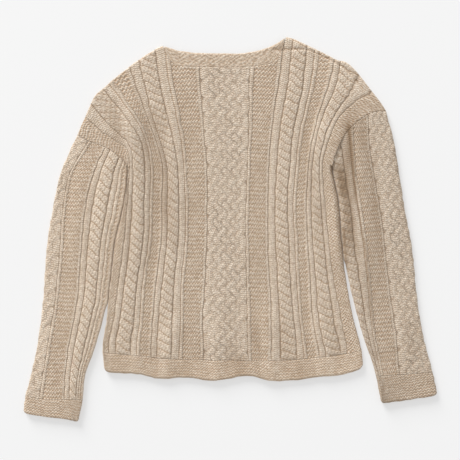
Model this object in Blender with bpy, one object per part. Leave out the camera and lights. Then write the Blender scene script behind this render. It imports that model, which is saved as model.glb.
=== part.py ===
"""Cable knit sweater, laid out flat with its back upwards.

The pieces are those a knitter makes and joins: back and front panels, the hem
and neck bands of each, two sleeves and two cuffs. Panels and bands are walls of
cloth. Sleeves and cuffs are flattened tubes of the same wall. The front lies on
the surface, the back lies on the front, and the sleeves lie beside the body.

Two cloth coordinates place everything. "across" is the distance from the middle
of the plait to a stitch column, and "height" is the distance up a column from the
hem seam, both in millimetres of cloth. Tables of sections give where the main
column edges lie on the surface, and smooth curves join them.
"""

from collections import namedtuple

import bmesh
import bpy
import numpy as np

MM = 0.001

# Cloth, in millimetres
WALL = 4.0           # thickness of the cabled cloth
LAYER_GAP = 0.3      # between the two layers
SEAM_GAP = 0.3       # between pieces, where one is joined to the next
CURVE_GAP = 1.3    # the same on curved seams, where straight facets meet
SLIT = 0.6           # between the two layers inside a sleeve
ROUND = 4.2          # radius of a folded edge
EDGE_SHARE = 0.25    # share of the wall left at the very edge of a fold
LIFT_FADE = 16.0     # distance over which a fold of the back dies out towards an edge
MIDDLE = WALL + LAYER_GAP / 2
ROUND_STEPS = (0.0, 1.3, ROUND)

# Body, in millimetres of cloth
UNDERARM = 346.0     # height of the underarm above the hem seam
SHOULDER = 554.0     # height of the shoulder line above the hem seam
HEM_DEPTH = 33.0
NECK_HALF = 77.0     # half width of the neck opening
NECK_END = 74.0      # where the back neck band ends
BACK_DROP = 37.0     # depth of the back neckline below the shoulder line
BACK_BAND = 24.0     # depth of the back neck band
FRONT_DROP = 112.0   # depth of the front neckline's seam below the shoulder line
FRONT_BAND = 24.0
SEAM_SQUARE = 14     # how square the back neck seam's corners are
BAND_SQUARE = 6      # how square the corners of the band's free edge are
BAND_TUCK = 2.0      # how far the front band's ends stay below the back band's edge
BODY_ROWS = 20
FRONT_ROWS = 20
BAND_ROWS = 2
SCOOP_STEPS = 8      # columns across the front neckline
SLEEVE_ROWS = 13
CUFF_ROWS = 2
HEAD_FADE = 70.0     # length of sleeve that takes up the armhole's curve

Column = namedtuple("Column", "name width rise cells")
COLUMNS = (
    # from the middle outwards; rise is how far the column stands above its grooves
    Column("half_plait", 36.0, 1.3, 2),
    Column("ladder", 39.0, 0.4, 2),
    Column("rib", 14.0, 0.8, 2),
    Column("rope", 23.0, 1.6, 2),
    Column("rib", 11.0, 0.8, 2),
    Column("narrow_ladder", 24.0, 0.4, 2),
    Column("rib", 10.0, 0.8, 2),
    Column("outer_rope", 21.0, 1.6, 2),
    Column("rib", 9.0, 0.8, 2),
    Column("side_band", 24.0, 0.3, 1),
)
PLAIT, LADDER, ROPE, NARROW, OUTER, BAND, SIDE = 36.0, 75.0, 112.0, 147.0, 178.0, 187.0, 211.0

BodySection = namedtuple("BodySection", (
    "name height side_left band_left outer_left narrow_left rope_left ladder_left plait_left "
    "plait_right ladder_right rope_right narrow_right outer_right band_right side_right"))
BODY_ACROSS = (-SIDE, -BAND, -OUTER, -NARROW, -ROPE, -LADDER, -PLAIT,
               PLAIT, LADDER, ROPE, NARROW, OUTER, BAND, SIDE)
BODY = (
    BodySection("hem_edge", -HEM_DEPTH,
                (-222, -250), (-206, -253), (-195, -254), (-160, -256), (-127, -261), (-90, -263),
                (-50, -263), (34, -262), (74, -263), (120, -264), (157, -261), (196, -257),
                (209, -254), (234, -243)),
    BodySection("hem_seam", 0,
                (-226, -216), (-214, -218), (-202, -219), (-165, -222), (-129, -227), (-90, -229),
                (-48, -230), (32, -231), (72, -231), (118, -229), (156, -225), (194, -221),
                (206, -219), (231, -213)),
    BodySection("hip", 71,
                (-219, -160), (-207, -160), (-195, -160), (-160, -160), (-127, -160), (-88, -160),
                (-49, -160), (30, -160), (72, -160), (112, -160), (145, -160), (182, -160),
                (196, -160), (217, -158)),
    BodySection("low_waist", 142,
                (-212, -89), (-197, -89), (-186, -89), (-154, -89), (-120, -89), (-86, -89),
                (-45, -89), (29, -89), (69, -89), (106, -89), (141, -89), (172, -89),
                (182, -89), (204, -89)),
    BodySection("waist", 213,
                (-203, -18), (-187, -18), (-177, -18), (-144, -18), (-112, -18), (-80, -18),
                (-42, -18), (27, -18), (66, -18), (103, -18), (136, -18), (164, -18),
                (173, -18), (196, -18)),
    BodySection("chest", 284,
                (-187, 53), (-181, 53), (-173, 53), (-142, 53), (-111, 53), (-79, 53),
                (-41, 53), (28, 53), (66, 53), (100, 53), (134, 53), (159, 53),
                (166, 53), (190, 53)),
    BodySection("underarm", UNDERARM,
                (-183, 112), (-178, 116), (-172, 116), (-141, 115), (-112, 115), (-82, 115),
                (-42, 115), (30, 115), (68, 115), (105, 115), (138, 115), (157, 116),
                (163, 117), (180, 113)),
    BodySection("low_armhole", 399,
                (-199, 131), (-183, 143), (-178, 150), (-152, 166), (-127, 168), (-88, 168),
                (-47, 168), (32, 168), (72, 168), (110, 168), (146, 168), (168, 169),
                (175, 164), (193, 152)),
    BodySection("mid_armhole", 443,
                (-222, 146), (-203, 157), (-199, 171), (-171, 200), (-141, 212), (-97, 212),
                (-50, 212), (33, 212), (77, 212), (119, 212), (158, 212), (184, 203),
                (192, 199), (212, 180)),
    BodySection("high_armhole", 482,
                (-245, 154), (-229, 175), (-224, 196), (-196, 235), (-150, 251), (-106, 251),
                (-53, 251), (33, 251), (84, 251), (127, 251), (172, 251), (206, 235),
                (216, 223), (240, 202)),
    BodySection("shoulder", SHOULDER,
                (-271, 167), (-256, 201), (-247, 223), (-215, 258), (-162, 300), (-116, 325),
                (-56, 325), (38, 327), (95, 340), (135, 326), (183, 302), (225, 276),
                (250, 244), (275, 210)),
)

SleeveSection = namedtuple("SleeveSection", "name along outer plait ladder inner")
LEFT_ACROSS = (0.0, 21.0, 59.0, 114.0)
LEFT_SLEEVE = (
    SleeveSection("seam", 0, (-273, 170), (-252, 157), (-222, 148), (-184, 111)),
    SleeveSection("upper_arm", 60, (-301, 97), (-284, 97), (-242, 97), (-188, 88)),
    SleeveSection("biceps", 105, (-311, 53), (-293, 53), (-253, 53), (-191, 50)),
    SleeveSection("elbow", 195, (-325, -36), (-301, -36), (-263, -36), (-209, -36)),
    SleeveSection("forearm", 283, (-331, -124), (-309, -124), (-270, -124), (-218, -124)),
    SleeveSection("wrist", 372, (-343, -213), (-323, -213), (-286, -213), (-241, -213)),
    SleeveSection("low_wrist", 425, (-355, -266), (-332, -266), (-292, -266), (-258, -264)),
    SleeveSection("cuff_seam", 458, (-362, -293), (-337, -298), (-293, -300), (-261, -300)),
    SleeveSection("cuff_edge", 496, (-366, -323), (-341, -328), (-293, -334), (-269, -339)),
)
RIGHT_ACROSS = (0.0, 48.0, 87.0, 114.0)
RIGHT_SLEEVE = (
    SleeveSection("seam", 0, (275, 211), (243, 204), (210, 178), (181, 111)),
    SleeveSection("upper_arm", 45, (288, 159), (244, 159), (213, 141), (185, 98)),
    SleeveSection("biceps", 105, (298, 97), (253, 97), (217, 92), (190, 76)),
    SleeveSection("elbow", 165, (308, 35), (264, 35), (226, 35), (195, 35)),
    SleeveSection("forearm", 237, (321, -36), (273, -36), (236, -36), (200, -36)),
    SleeveSection("mid_forearm", 308, (328, -107), (281, -107), (242, -107), (210, -107)),
    SleeveSection("wrist", 380, (338, -177), (291, -177), (250, -177), (231, -177)),
    SleeveSection("cuff_seam", 457, (357, -252), (298, -256), (266, -258), (257, -258)),
    SleeveSection("cuff_edge", 503, (366, -292), (302, -302), (274, -305), (266, -305)),
)

Fold = namedtuple("Fold", "name start end width height")
FOLDS = (
    # soft ridges of the back panel; width is a fold's half width, height its crest
    Fold("left_yoke_ridge", (-205, 205), (-168, 60), 13, 2.6),
    Fold("left_waist_ridge", (-170, 40), (-178, -90), 14, 2.2),
    Fold("left_inner_ridge", (-118, 190), (-112, -60), 15, 1.8),
    Fold("right_side_roll", (196, 130), (186, -40), 10, 2.8),
    Fold("right_yoke_ridge", (205, 225), (150, 110), 15, 1.8),
    Fold("right_waist_ridge", (122, 90), (118, -70), 15, 1.4),
    Fold("left_hem_flute", (-63, -256), (-58, -120), 16, 3.0),
    Fold("right_hem_flute", (44, -256), (38, -110), 15, 3.4),
    Fold("outer_left_flute", (-172, -246), (-160, -140), 15, 2.4),
    Fold("outer_right_flute", (160, -250), (146, -120), 16, 2.4),
)
SLEEVE_FOLDS = (
    Fold("left_arm_ridge", (-262, 120), (-280, -60), 16, 1.8),
    Fold("left_wrist_ridge", (-318, -170), (-334, -270), 14, 1.6),
    Fold("right_arm_ridge", (268, 150), (292, -30), 18, 1.8),
    Fold("right_wrist_ridge", (300, -140), (322, -250), 15, 1.6),
)
FOLD_END = 45.0      # length over which a fold dies out at each end

OATMEAL = (0.515, 0.407, 0.314, 1.0)
ROUGHNESS = 0.9


def clear_scene():
    """Remove whatever objects the file holds."""
    for item in list(bpy.data.objects):
        bpy.data.objects.remove(item, do_unlink=True)


def smooth_curve(stations, values, at):
    """Cubic curve through values at stations, read at the places in at."""
    stations = np.asarray(stations, dtype=float)
    values = np.asarray(values, dtype=float)
    slopes = np.gradient(values, stations, axis=0)
    index = np.clip(np.searchsorted(stations, at, side="right") - 1, 0, len(stations) - 2)
    span = stations[index + 1] - stations[index]
    t = (at - stations[index]) / span
    start, end = values[index], values[index + 1]
    return ((2 * t**3 - 3 * t**2 + 1) * start + (t**3 - 2 * t**2 + t) * span * slopes[index]
            + (3 * t**2 - 2 * t**3) * end + (t**3 - t**2) * span * slopes[index + 1])


def place_on_surface(stations, guides, guide_across, across, along):
    """Surface place of each cloth point, from the smooth curves of the guides.

    guides holds, for each section, the place of each guide. across and along are
    arrays of one shape, and the result adds an axis with x and y.
    """
    guides = np.asarray(guides, dtype=float)
    place = np.empty(across.shape + (2,))
    for axis in (0, 1):
        curves = [smooth_curve(stations, guides[:, k, axis], along)
                  for k in range(guides.shape[1])]
        stack = np.stack(curves, axis=-1)
        right = np.clip(np.searchsorted(guide_across, across), 1, len(guide_across) - 1)
        low = np.take(guide_across, right - 1)
        high = np.take(guide_across, right)
        share = (across - low) / (high - low)
        before = np.take_along_axis(stack, (right - 1)[..., None], axis=-1)[..., 0]
        after = np.take_along_axis(stack, right[..., None], axis=-1)[..., 0]
        place[..., axis] = before + share * (after - before)
    return place


def body_place(across, height):
    """Surface place of points of the body's cloth."""
    stations = [section.height for section in BODY]
    guides = [section[2:] for section in BODY]
    return place_on_surface(stations, guides, np.array(BODY_ACROSS), across, height)


def fold_lift(place, folds):
    """Height that the soft ridges add at each place on the surface."""
    lift = np.zeros(place.shape[:-1])
    for fold in folds:
        start, end = np.array(fold.start, float), np.array(fold.end, float)
        length = np.linalg.norm(end - start)
        direction = (end - start) / length
        offset = place - start
        along = offset @ direction
        aside = offset[..., 0] * direction[1] - offset[..., 1] * direction[0]
        inside = np.minimum(along, length - along) / FOLD_END
        taper = 1.0 / (1.0 + np.exp(-4.0 * inside))
        lift += fold.height * taper * np.exp(-(aside / fold.width) ** 2)
    return lift


def rounded(distance):
    """Share of the wall that stands at a distance from a folded edge."""
    near = np.clip(distance / ROUND, 0.0, 1.0)
    return EDGE_SHARE + (1.0 - EDGE_SHARE) * np.sqrt(1.0 - (1.0 - near) ** 2)


def fade(distance):
    """Smooth step from 0 at an edge to 1 at LIFT_FADE from it."""
    near = np.clip(distance / LIFT_FADE, 0.0, 1.0)
    return near * near * (3.0 - 2.0 * near)


def column_lines():
    """Across positions of the cell lines, with the rise of the cloth at each."""
    lines = [(0.0, COLUMNS[0].rise)]
    edge = 0.0
    for column in COLUMNS:
        step = column.width / column.cells
        for cell in range(1, column.cells):
            lines.append((edge + cell * step, column.rise))
        edge += column.width
        lines.append((edge, 0.0))
    lines = lines[:-1] + [(SIDE - step, 0.0) for step in reversed(ROUND_STEPS)]
    across = np.array([-place for place, _ in reversed(lines[1:])] + [place for place, _ in lines])
    rise = np.array([value for _, value in reversed(lines[1:])] + [value for _, value in lines])
    return across, rise


def cloth_object(name, upper, lower, ring=False):
    """Closed wall between two grids of points, given in millimetres.

    The grids run along first and across second. With ring they close on
    themselves across, as a tube does, upper is the outside and lower the inside.
    """
    rows, columns = upper.shape[:2]
    bm = bmesh.new()
    skins = []
    for grid in (upper, lower):
        skins.append([[bm.verts.new(grid[j, i] * MM) for i in range(columns)] for j in range(rows)])
    top, under = skins
    last = columns if ring else columns - 1
    for j in range(rows - 1):
        for i in range(last):
            k = (i + 1) % columns
            bm.faces.new((top[j][i], top[j][k], top[j + 1][k], top[j + 1][i]))
            bm.faces.new((under[j][i], under[j + 1][i], under[j + 1][k], under[j][k]))
    for i in range(last):
        k = (i + 1) % columns
        bm.faces.new((top[0][i], under[0][i], under[0][k], top[0][k]))
        bm.faces.new((top[-1][i], top[-1][k], under[-1][k], under[-1][i]))
    if not ring:
        for j in range(rows - 1):
            bm.faces.new((top[j][0], top[j + 1][0], under[j + 1][0], under[j][0]))
            bm.faces.new((top[j][-1], under[j][-1], under[j + 1][-1], top[j + 1][-1]))
    bmesh.ops.recalc_face_normals(bm, faces=bm.faces)
    bmesh.ops.triangulate(bm, faces=bm.faces, quad_method="SHORT_EDGE")
    mesh = bpy.data.meshes.new(name)
    bm.to_mesh(mesh)
    bm.free()
    mesh.shade_smooth()
    mesh.set_sharp_from_angle(angle=0.9)
    item = bpy.data.objects.new(name, mesh)
    bpy.context.scene.collection.objects.link(item)
    item.data.materials.append(knit_material(name))
    return item


def knit_material(name):
    """Oatmeal wool of one piece."""
    material = bpy.data.materials.new(name + "_knit")
    material.use_nodes = True
    shader = material.node_tree.nodes["Principled BSDF"]
    shader.inputs["Base Color"].default_value = OATMEAL
    shader.inputs["Roughness"].default_value = ROUGHNESS
    shader.inputs["Metallic"].default_value = 0.0
    return material


def with_depth(place, depth):
    """Points from surface places and depths."""
    return np.concatenate([place, depth[..., None]], axis=-1)


def body_edge_distance(across, height, top):
    """Distance of a point of the body from its nearest folded edge."""
    side = np.where(height < UNDERARM, SIDE - np.abs(across), np.inf)
    shoulder = np.where(np.abs(across) >= NECK_HALF, top - height, np.inf)
    return np.minimum(side, shoulder)


def back_layer(name, across, height, top, rise):
    """Wall of the upper layer, which carries the folds and the columns."""
    place = body_place(across, height)
    edge = body_edge_distance(across, height, top)
    lift = fold_lift(place, FOLDS) * fade(edge)
    under = MIDDLE + LAYER_GAP / 2 + lift
    over = under + (WALL - 0.8 + rise) * rounded(edge)
    return cloth_object(name, with_depth(place, over), with_depth(place, under))


def front_layer(name, across, height, top):
    """Wall of the lower layer, flat where it rests."""
    place = body_place(across, height)
    edge = body_edge_distance(across, height, top)
    over = np.full(across.shape, MIDDLE - LAYER_GAP / 2)
    under = over * (1.0 - rounded(edge))
    return cloth_object(name, with_depth(place, over), with_depth(place, under))


def back_neckline(across):
    """Height of the back panel's top edge at each column."""
    share = np.clip(np.abs(across) / NECK_HALF, 0.0, 1.0) ** SEAM_SQUARE
    return SHOULDER - BACK_DROP * (1.0 - share)


def back_band_edge(across):
    """Height of the back neck band's free edge at each column."""
    share = np.clip(np.abs(across) / NECK_HALF, 0.0, 1.0) ** BAND_SQUARE
    return SHOULDER - (BACK_DROP - BACK_BAND) * (1.0 - share)


def front_neckline(across):
    """Height of the front panel's top edge at each column, a scoop."""
    share = np.clip(np.abs(across) / NECK_HALF, 0.0, 1.0)
    return SHOULDER - FRONT_DROP * np.sqrt(1.0 - share**2)


def with_neck_corners(across, rise):
    """Add the cell lines on which the back neck band ends."""
    extra = np.array([-NECK_HALF, -NECK_END, NECK_END, NECK_HALF])
    rises = np.interp(extra, across, rise)
    every = np.concatenate([across, extra])
    order = np.argsort(every)
    return every[order], np.concatenate([rise, rises])[order]


def rows_between(bottom, top, steps):
    """Heights of steps equal rows between two arrays of column ends."""
    share = np.linspace(0.0, 1.0, steps + 1)[:, None]
    return bottom + share * (top - bottom)


def build_back():
    """Back panel, its hem band and its neck band."""
    across, rise = with_neck_corners(*column_lines())
    top = back_neckline(across)
    height = rows_between(np.zeros_like(across), top, BODY_ROWS)
    wide = np.broadcast_to(across, height.shape)
    back_layer("back_panel", wide, height, top, rise)

    hem_top = np.full_like(across, -SEAM_GAP)
    height = rows_between(hem_top - HEM_DEPTH + SEAM_GAP, hem_top, BAND_ROWS)
    wide = np.broadcast_to(across, height.shape)
    back_layer("hem_band_back", wide, height, np.full_like(across, np.inf), 0.2)

    middle = np.abs(across) <= NECK_END
    columns = across[middle]
    height = rows_between(back_neckline(columns) + SEAM_GAP, back_band_edge(columns), BAND_ROWS)
    wide = np.broadcast_to(columns, height.shape)
    back_layer("neck_band_back", wide, height, np.full_like(columns, np.inf), 0.2)


def build_front():
    """Front panel, its hem band and its neck band."""
    scoop = NECK_HALF * np.cos(np.linspace(0.0, np.pi, SCOOP_STEPS + 1))[::-1]
    side = [SIDE - step for step in reversed(ROUND_STEPS)]
    outer = np.array([ROPE, NARROW, OUTER] + side)
    across = np.concatenate([-outer[::-1], scoop, outer])
    top = front_neckline(across)
    height = rows_between(np.zeros_like(across), top, FRONT_ROWS)
    wide = np.broadcast_to(across, height.shape)
    front_layer("front_panel", wide, height, top)

    hem_top = np.full_like(across, -SEAM_GAP)
    height = rows_between(hem_top - HEM_DEPTH + SEAM_GAP, hem_top, BAND_ROWS)
    wide = np.broadcast_to(across, height.shape)
    front_layer("hem_band_front", wide, height, np.full_like(across, np.inf))

    turn = np.linspace(np.pi, 0.0, SCOOP_STEPS + 1)
    share = np.linspace(0.0, 1.0, BAND_ROWS + 1)[:, None]
    inset = CURVE_GAP + share * (FRONT_BAND - CURVE_GAP)
    wide = (NECK_HALF - inset) * np.cos(turn)
    height = SHOULDER - (FRONT_DROP - inset) * np.sin(turn)
    height = np.minimum(height, back_band_edge(wide) - BAND_TUCK)
    front_layer("neck_band_front", wide, height, np.full_like(wide, np.inf))


def armhole_place(side, share):
    """Places just outside the body's armhole edge, from shoulder to underarm."""
    height = SHOULDER + share * (UNDERARM - SHOULDER)
    step = 1.0
    edge = SIDE if side == "right" else -SIDE
    place = body_place(np.full_like(height, edge), height)
    ahead = body_place(np.full_like(height, edge), height - step)
    along = ahead - place
    outward = np.stack([-along[..., 1], along[..., 0]], axis=-1)
    outward /= np.linalg.norm(outward, axis=-1, keepdims=True)
    return place + (outward if side == "right" else -outward) * CURVE_GAP


def build_sleeve(side, table, guide_across, lines):
    """One sleeve and its cuff, as flattened tubes.

    lines gives the across positions of the column edges between the two folds.
    """
    width = guide_across[-1]
    folds = [step / width for step in ROUND_STEPS]
    inside = [line / width for line in lines]
    share = np.array(folds + inside + [1.0 - fold for fold in reversed(folds)])
    stations = [section.along for section in table]
    guides = [section[2:] for section in table]
    seam = table[-2].along
    for name, start, end, rows in (
            ("sleeve_" + side, 0.0, seam - SEAM_GAP, SLEEVE_ROWS),
            ("cuff_" + side, seam, table[-1].along, CUFF_ROWS)):
        along = np.linspace(start, end, rows + 1)[:, None]
        place = place_on_surface(
            stations, guides, np.array(guide_across), *np.broadcast_arrays(share * width, along))
        if start < seam:
            near = np.clip(1.0 - along / HEAD_FADE, 0.0, 1.0)[..., None] ** 2
            place = place + near * (armhole_place(side, share) - place[0])
        span = np.linalg.norm(place[:, -1] - place[:, 0], axis=-1)[:, None]
        tube_object(name, place, share, span)


def tube_object(name, place, share, span):
    """Flattened tube whose upper and lower layers both follow a grid of places."""
    edge = np.minimum(share, 1.0 - share) * span
    swell = np.sqrt(1.0 - (1.0 - np.clip(edge / ROUND, 0.0, 1.0)) ** 2)
    lift = fold_lift(place, SLEEVE_FOLDS) * fade(edge)
    half = WALL + SLIT / 2
    over = half + half * swell + lift
    under = half - half * swell
    inner_share = (WALL + share * (span - 2 * WALL)) / span
    inner_place = blend_across(place, share, inner_share)
    inner_lift = fold_lift(inner_place, SLEEVE_FOLDS) * fade(edge)
    open_share = np.clip(edge / ROUND, 0.0, 1.0)
    inner_over = half + SLIT / 2 * open_share + inner_lift
    inner_under = half - SLIT / 2 * open_share
    outer = ring(with_depth(place, over), with_depth(place, under))
    inner = ring(with_depth(inner_place, inner_over), with_depth(inner_place, inner_under))
    cloth_object(name, outer, inner, ring=True)


def blend_across(place, share, wanted):
    """Places at the wanted shares of each row, between the grid's own places."""
    moved = np.empty_like(place)
    for j in range(place.shape[0]):
        for axis in (0, 1):
            moved[j, :, axis] = np.interp(wanted[j], share, place[j, :, axis])
    return moved


def ring(over, under):
    """One loop per row: the upper layer across, then the lower layer back."""
    return np.concatenate([over, under[:, -2:0:-1]], axis=1)


def main():
    """Build every piece."""
    clear_scene()
    build_back()
    build_front()
    build_sleeve("left", LEFT_SLEEVE, LEFT_ACROSS, (21.0, 40.0, 59.0, 75.0, 92.0))
    build_sleeve("right", RIGHT_SLEEVE, RIGHT_ACROSS, (24.0, 48.0, 67.0, 87.0, 100.0))


main()
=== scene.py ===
"""Looks of a cable knit sweater laid out flat with its back upwards.

Every piece is a thin shell of knitted cloth on the form of its solid in model.glb.
Two cloth coordinates run over each piece: "across", from the middle of a panel or
from the outer fold of a sleeve, and "along", up the stitch columns. The columns
(plait, ladder, rib, rope and seed stitch) and the garter and moss bands are shaped as
real relief from these coordinates, and the single stitches come from the wool finish,
which follows them. Lengths are in millimetres up to the point where a mesh is made.
"""

import logging
from dataclasses import dataclass, field
from enum import Enum
from typing import NamedTuple, Optional, Sequence, Union

import bmesh
import bpy
import numpy as np
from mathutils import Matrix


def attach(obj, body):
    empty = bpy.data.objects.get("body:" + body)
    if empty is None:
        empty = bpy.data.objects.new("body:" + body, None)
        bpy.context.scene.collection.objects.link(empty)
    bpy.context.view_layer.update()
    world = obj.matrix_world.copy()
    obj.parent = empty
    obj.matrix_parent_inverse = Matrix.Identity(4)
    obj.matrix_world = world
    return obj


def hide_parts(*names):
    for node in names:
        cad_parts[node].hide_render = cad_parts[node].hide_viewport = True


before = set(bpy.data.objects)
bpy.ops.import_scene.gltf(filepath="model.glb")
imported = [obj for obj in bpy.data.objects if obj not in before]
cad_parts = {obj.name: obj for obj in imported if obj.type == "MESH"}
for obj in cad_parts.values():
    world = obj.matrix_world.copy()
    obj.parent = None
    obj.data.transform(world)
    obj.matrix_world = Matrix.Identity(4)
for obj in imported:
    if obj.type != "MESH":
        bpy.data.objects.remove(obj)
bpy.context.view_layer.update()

LOG = logging.getLogger("cable_knit_sweater")

MM = 0.001
FAR = 9999.0            # stands for the distance to an edge that a piece doesn't have

# Cloth
STITCH = 4.3            # width of a stitch
ROW = 3.7               # height of a row
ARCH = 0.9              # share of a half circle that a rope's or a rib's section takes
LAYER_GAP = 0.3         # between the two layers of the body
SEAM_GAP = 0.04         # between a panel and its band
SEAM_FADE = 5.0         # distance over which columns die out at a band
BAND_RELIEF = 1.45      # mean height of a band's pattern
RELIEF_FLOOR = -0.2     # lowest relief, in the deepest grooves
TALLEST = 3.2           # height of the tallest relief
PRESSED = 0.35          # share of the relief left on the side that lies on the floor
PRESSED_MOST = 1.2      # most that the floor side stands off the floor
MIDDLE = 4.15           # height of the plane between the two layers
GROUND = 2.3            # thickness of the cloth in the grooves between columns
THINNEST = 0.8          # thickness of the cloth under a crease
FOLD_RADIUS = 4.2       # roundness of a folded edge
LIP_RADIUS = 3.0        # roundness of a free edge
CORNER = 8.0            # roundness of the lower corners of the hem and the cuffs
LIFT_FADE = 9.0         # distance over which a fold of the back dies out at an edge
CALM_MOST = 0.7         # most of the relief that a calm patch takes away

# Meshes
STEP = 1.8              # spacing of the shell's points
BAND_STEP = 1.4         # spacing of the rows of the garter bands
COLLAR_STEP = 1.5       # spacing of the rows of the back neck band
INNER_STRIDE = 4        # how many outer steps one step of the inner skin takes
GROOVE_POINT = 0.8      # distance of a column's first and last inner point from its edges
EDGE_POINTS = 240       # points along the side of the body that a sleeve lies beside
ARMHOLE_POINTS = 160    # points along an armhole

# Body, in cloth coordinates, with the hem seam at height 0
SIDE = 211.0            # across position of the right side
UNDERARM = 346.0        # height of the underarm
SHOULDER = 554.0        # height of the shoulder edge
HEM_DEPTH = 33.0        # depth of the hem bands
NECK_HALF = 77.0        # half width of the neckline
NECK_END = 75.5         # half length of the back neck band
BACK_DROP = 37.0        # from the shoulder edge down to the back panel's neckline
BACK_BAND = 24.0        # depth of the back neck band
FRONT_DROP = 112.0      # from the shoulder edge down to the front panel's neckline
FRONT_BAND = 24.0       # depth of the front neck band
BAND_INSET = 1.0        # of the front neck band from the neckline

Array = np.ndarray
Pair = tuple[float, float]
Triple = tuple[float, float, float]


class Knit(Enum):
    """The stitch patterns of the garment."""

    PLAIT = "plait"
    LADDER = "ladder"
    RIB = "rib"
    ROPE = "rope"
    SEED = "seed"
    MOSS = "moss"
    GARTER = "garter"


class Surface(NamedTuple):
    """Relief of a stitch pattern: its height and the stitch coordinates that it carries."""

    height: Array
    stitch: Array
    row: Array
    purl: Array             # 0 knit stitches, 1 ridges, 2 and more bumps


def smooth_step(value: Array) -> Array:
    """Smooth step from 0 to 1 as value runs from 0 to 1."""
    near = np.clip(value, 0.0, 1.0)
    return near * near * (3.0 - 2.0 * near)


def dome(value: Array) -> Array:
    """Height of a unit half circle at an offset from its middle, 0 outside it."""
    return np.sqrt(np.clip(1.0 - value * value, 0.0, 1.0))


def smooth_noise(across: Array, along: Array, cell: float, seed: int) -> Array:
    """Smooth noise between -1 and 1, the same on every run.

    Args:
        across: first coordinate of each point.
        along: second coordinate of each point.
        cell: size of a patch of the noise.
        seed: which noise it is.

    Returns:
        The noise at each point.
    """
    cells = 64
    table = np.random.default_rng(seed).uniform(-1.0, 1.0, (cells, cells))
    u, v = across / cell, along / cell
    left, low = np.floor(u).astype(int), np.floor(v).astype(int)
    du, dv = smooth_step(u - left), smooth_step(v - low)

    def corner(right: int, up: int) -> Array:
        """Table value at one corner of each point's patch."""
        return table[(left + right) % cells, (low + up) % cells]

    bottom = corner(0, 0) * (1 - du) + corner(1, 0) * du
    top = corner(0, 1) * (1 - du) + corner(1, 1) * du
    return bottom * (1 - dv) + top * dv


@dataclass(frozen=True)
class Stray:
    """A smooth unevenness: how much it does, the size of its patches, and which one it is."""

    amount: float
    cell: float
    seed: int

    def at(self, across: Array, along: Array) -> Array:
        """The unevenness at each point."""
        return self.amount * smooth_noise(across, along, self.cell, self.seed)


@dataclass(frozen=True)
class Unevenness:
    """How the stitches of a piece stray from an even grid, and their heights from a level."""

    rows: tuple[Stray, ...]
    columns: tuple[Stray, ...]
    height: Stray

    def along(self, across: Array, along: Array) -> Array:
        """How far the rows stray up or down their columns."""
        return sum(stray.at(across, along) for stray in self.rows)

    def aside(self, across: Array, along: Array) -> Array:
        """How far the columns stray sideways."""
        return sum(stray.at(across, along) for stray in self.columns)


BODY_UNEVEN = Unevenness((Stray(0.7, 31.0, 3), Stray(0.3, 9.0, 4)),
                         (Stray(0.5, 16.0, 6), Stray(0.35, 6.0, 7)), Stray(0.22, 7.0, 5))
BODY_BILLOW = Stray(0.5, 38.0, 8)
SLEEVE_UNEVEN = Unevenness((Stray(0.6, 29.0, 13), Stray(0.3, 9.0, 14)),
                           (Stray(0.5, 16.0, 16), Stray(0.35, 6.0, 17)), Stray(0.22, 7.0, 15))


@dataclass(frozen=True)
class Rope:
    """Two strands of two stitches that twist, each crossing over every eight rows."""

    pitch: float = 14.8     # distance between crossings
    slant: float = 0.42     # rise of a strand over the half width, in pitches
    swell: float = 1.7      # height of a strand over the cloth between
    dip: float = 0.35       # share of that height which is left at a crossing
    floor: float = 1.1      # height of the cloth between
    reach: float = 5.2      # height of a stitch along a strand
    stray: Stray = Stray(0.17, 19.0, 34)    # of a crossing from its place, in pitches
    apart: float = 9.0      # so that ropes of other widths stray elsewhere, in half widths

    def surface(self, offset: Array, half: float, along: Array) -> Surface:
        """Relief of the rope.

        Args:
            offset: distance from the column's middle.
            half: half width of the column.
            along: distance up the column.

        Returns:
            The relief of the strands, which fall from the upper left to the lower right.
        """
        share = offset / half
        stray = self.stray.at(offset + self.apart * half, along)
        turn = along / self.pitch + self.slant * np.sin(0.5 * np.pi * share) + stray
        phase = turn - np.floor(turn)
        pillow = 1.0 - np.abs(2.0 * phase - 1.0) ** 3
        height = self.floor + self.swell * (self.dip + (1.0 - self.dip) * pillow) * dome(ARCH * share)
        row = (offset - self.slant * along) / self.reach
        return Surface(height, 2.0 * turn, row, np.zeros_like(height))


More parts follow.
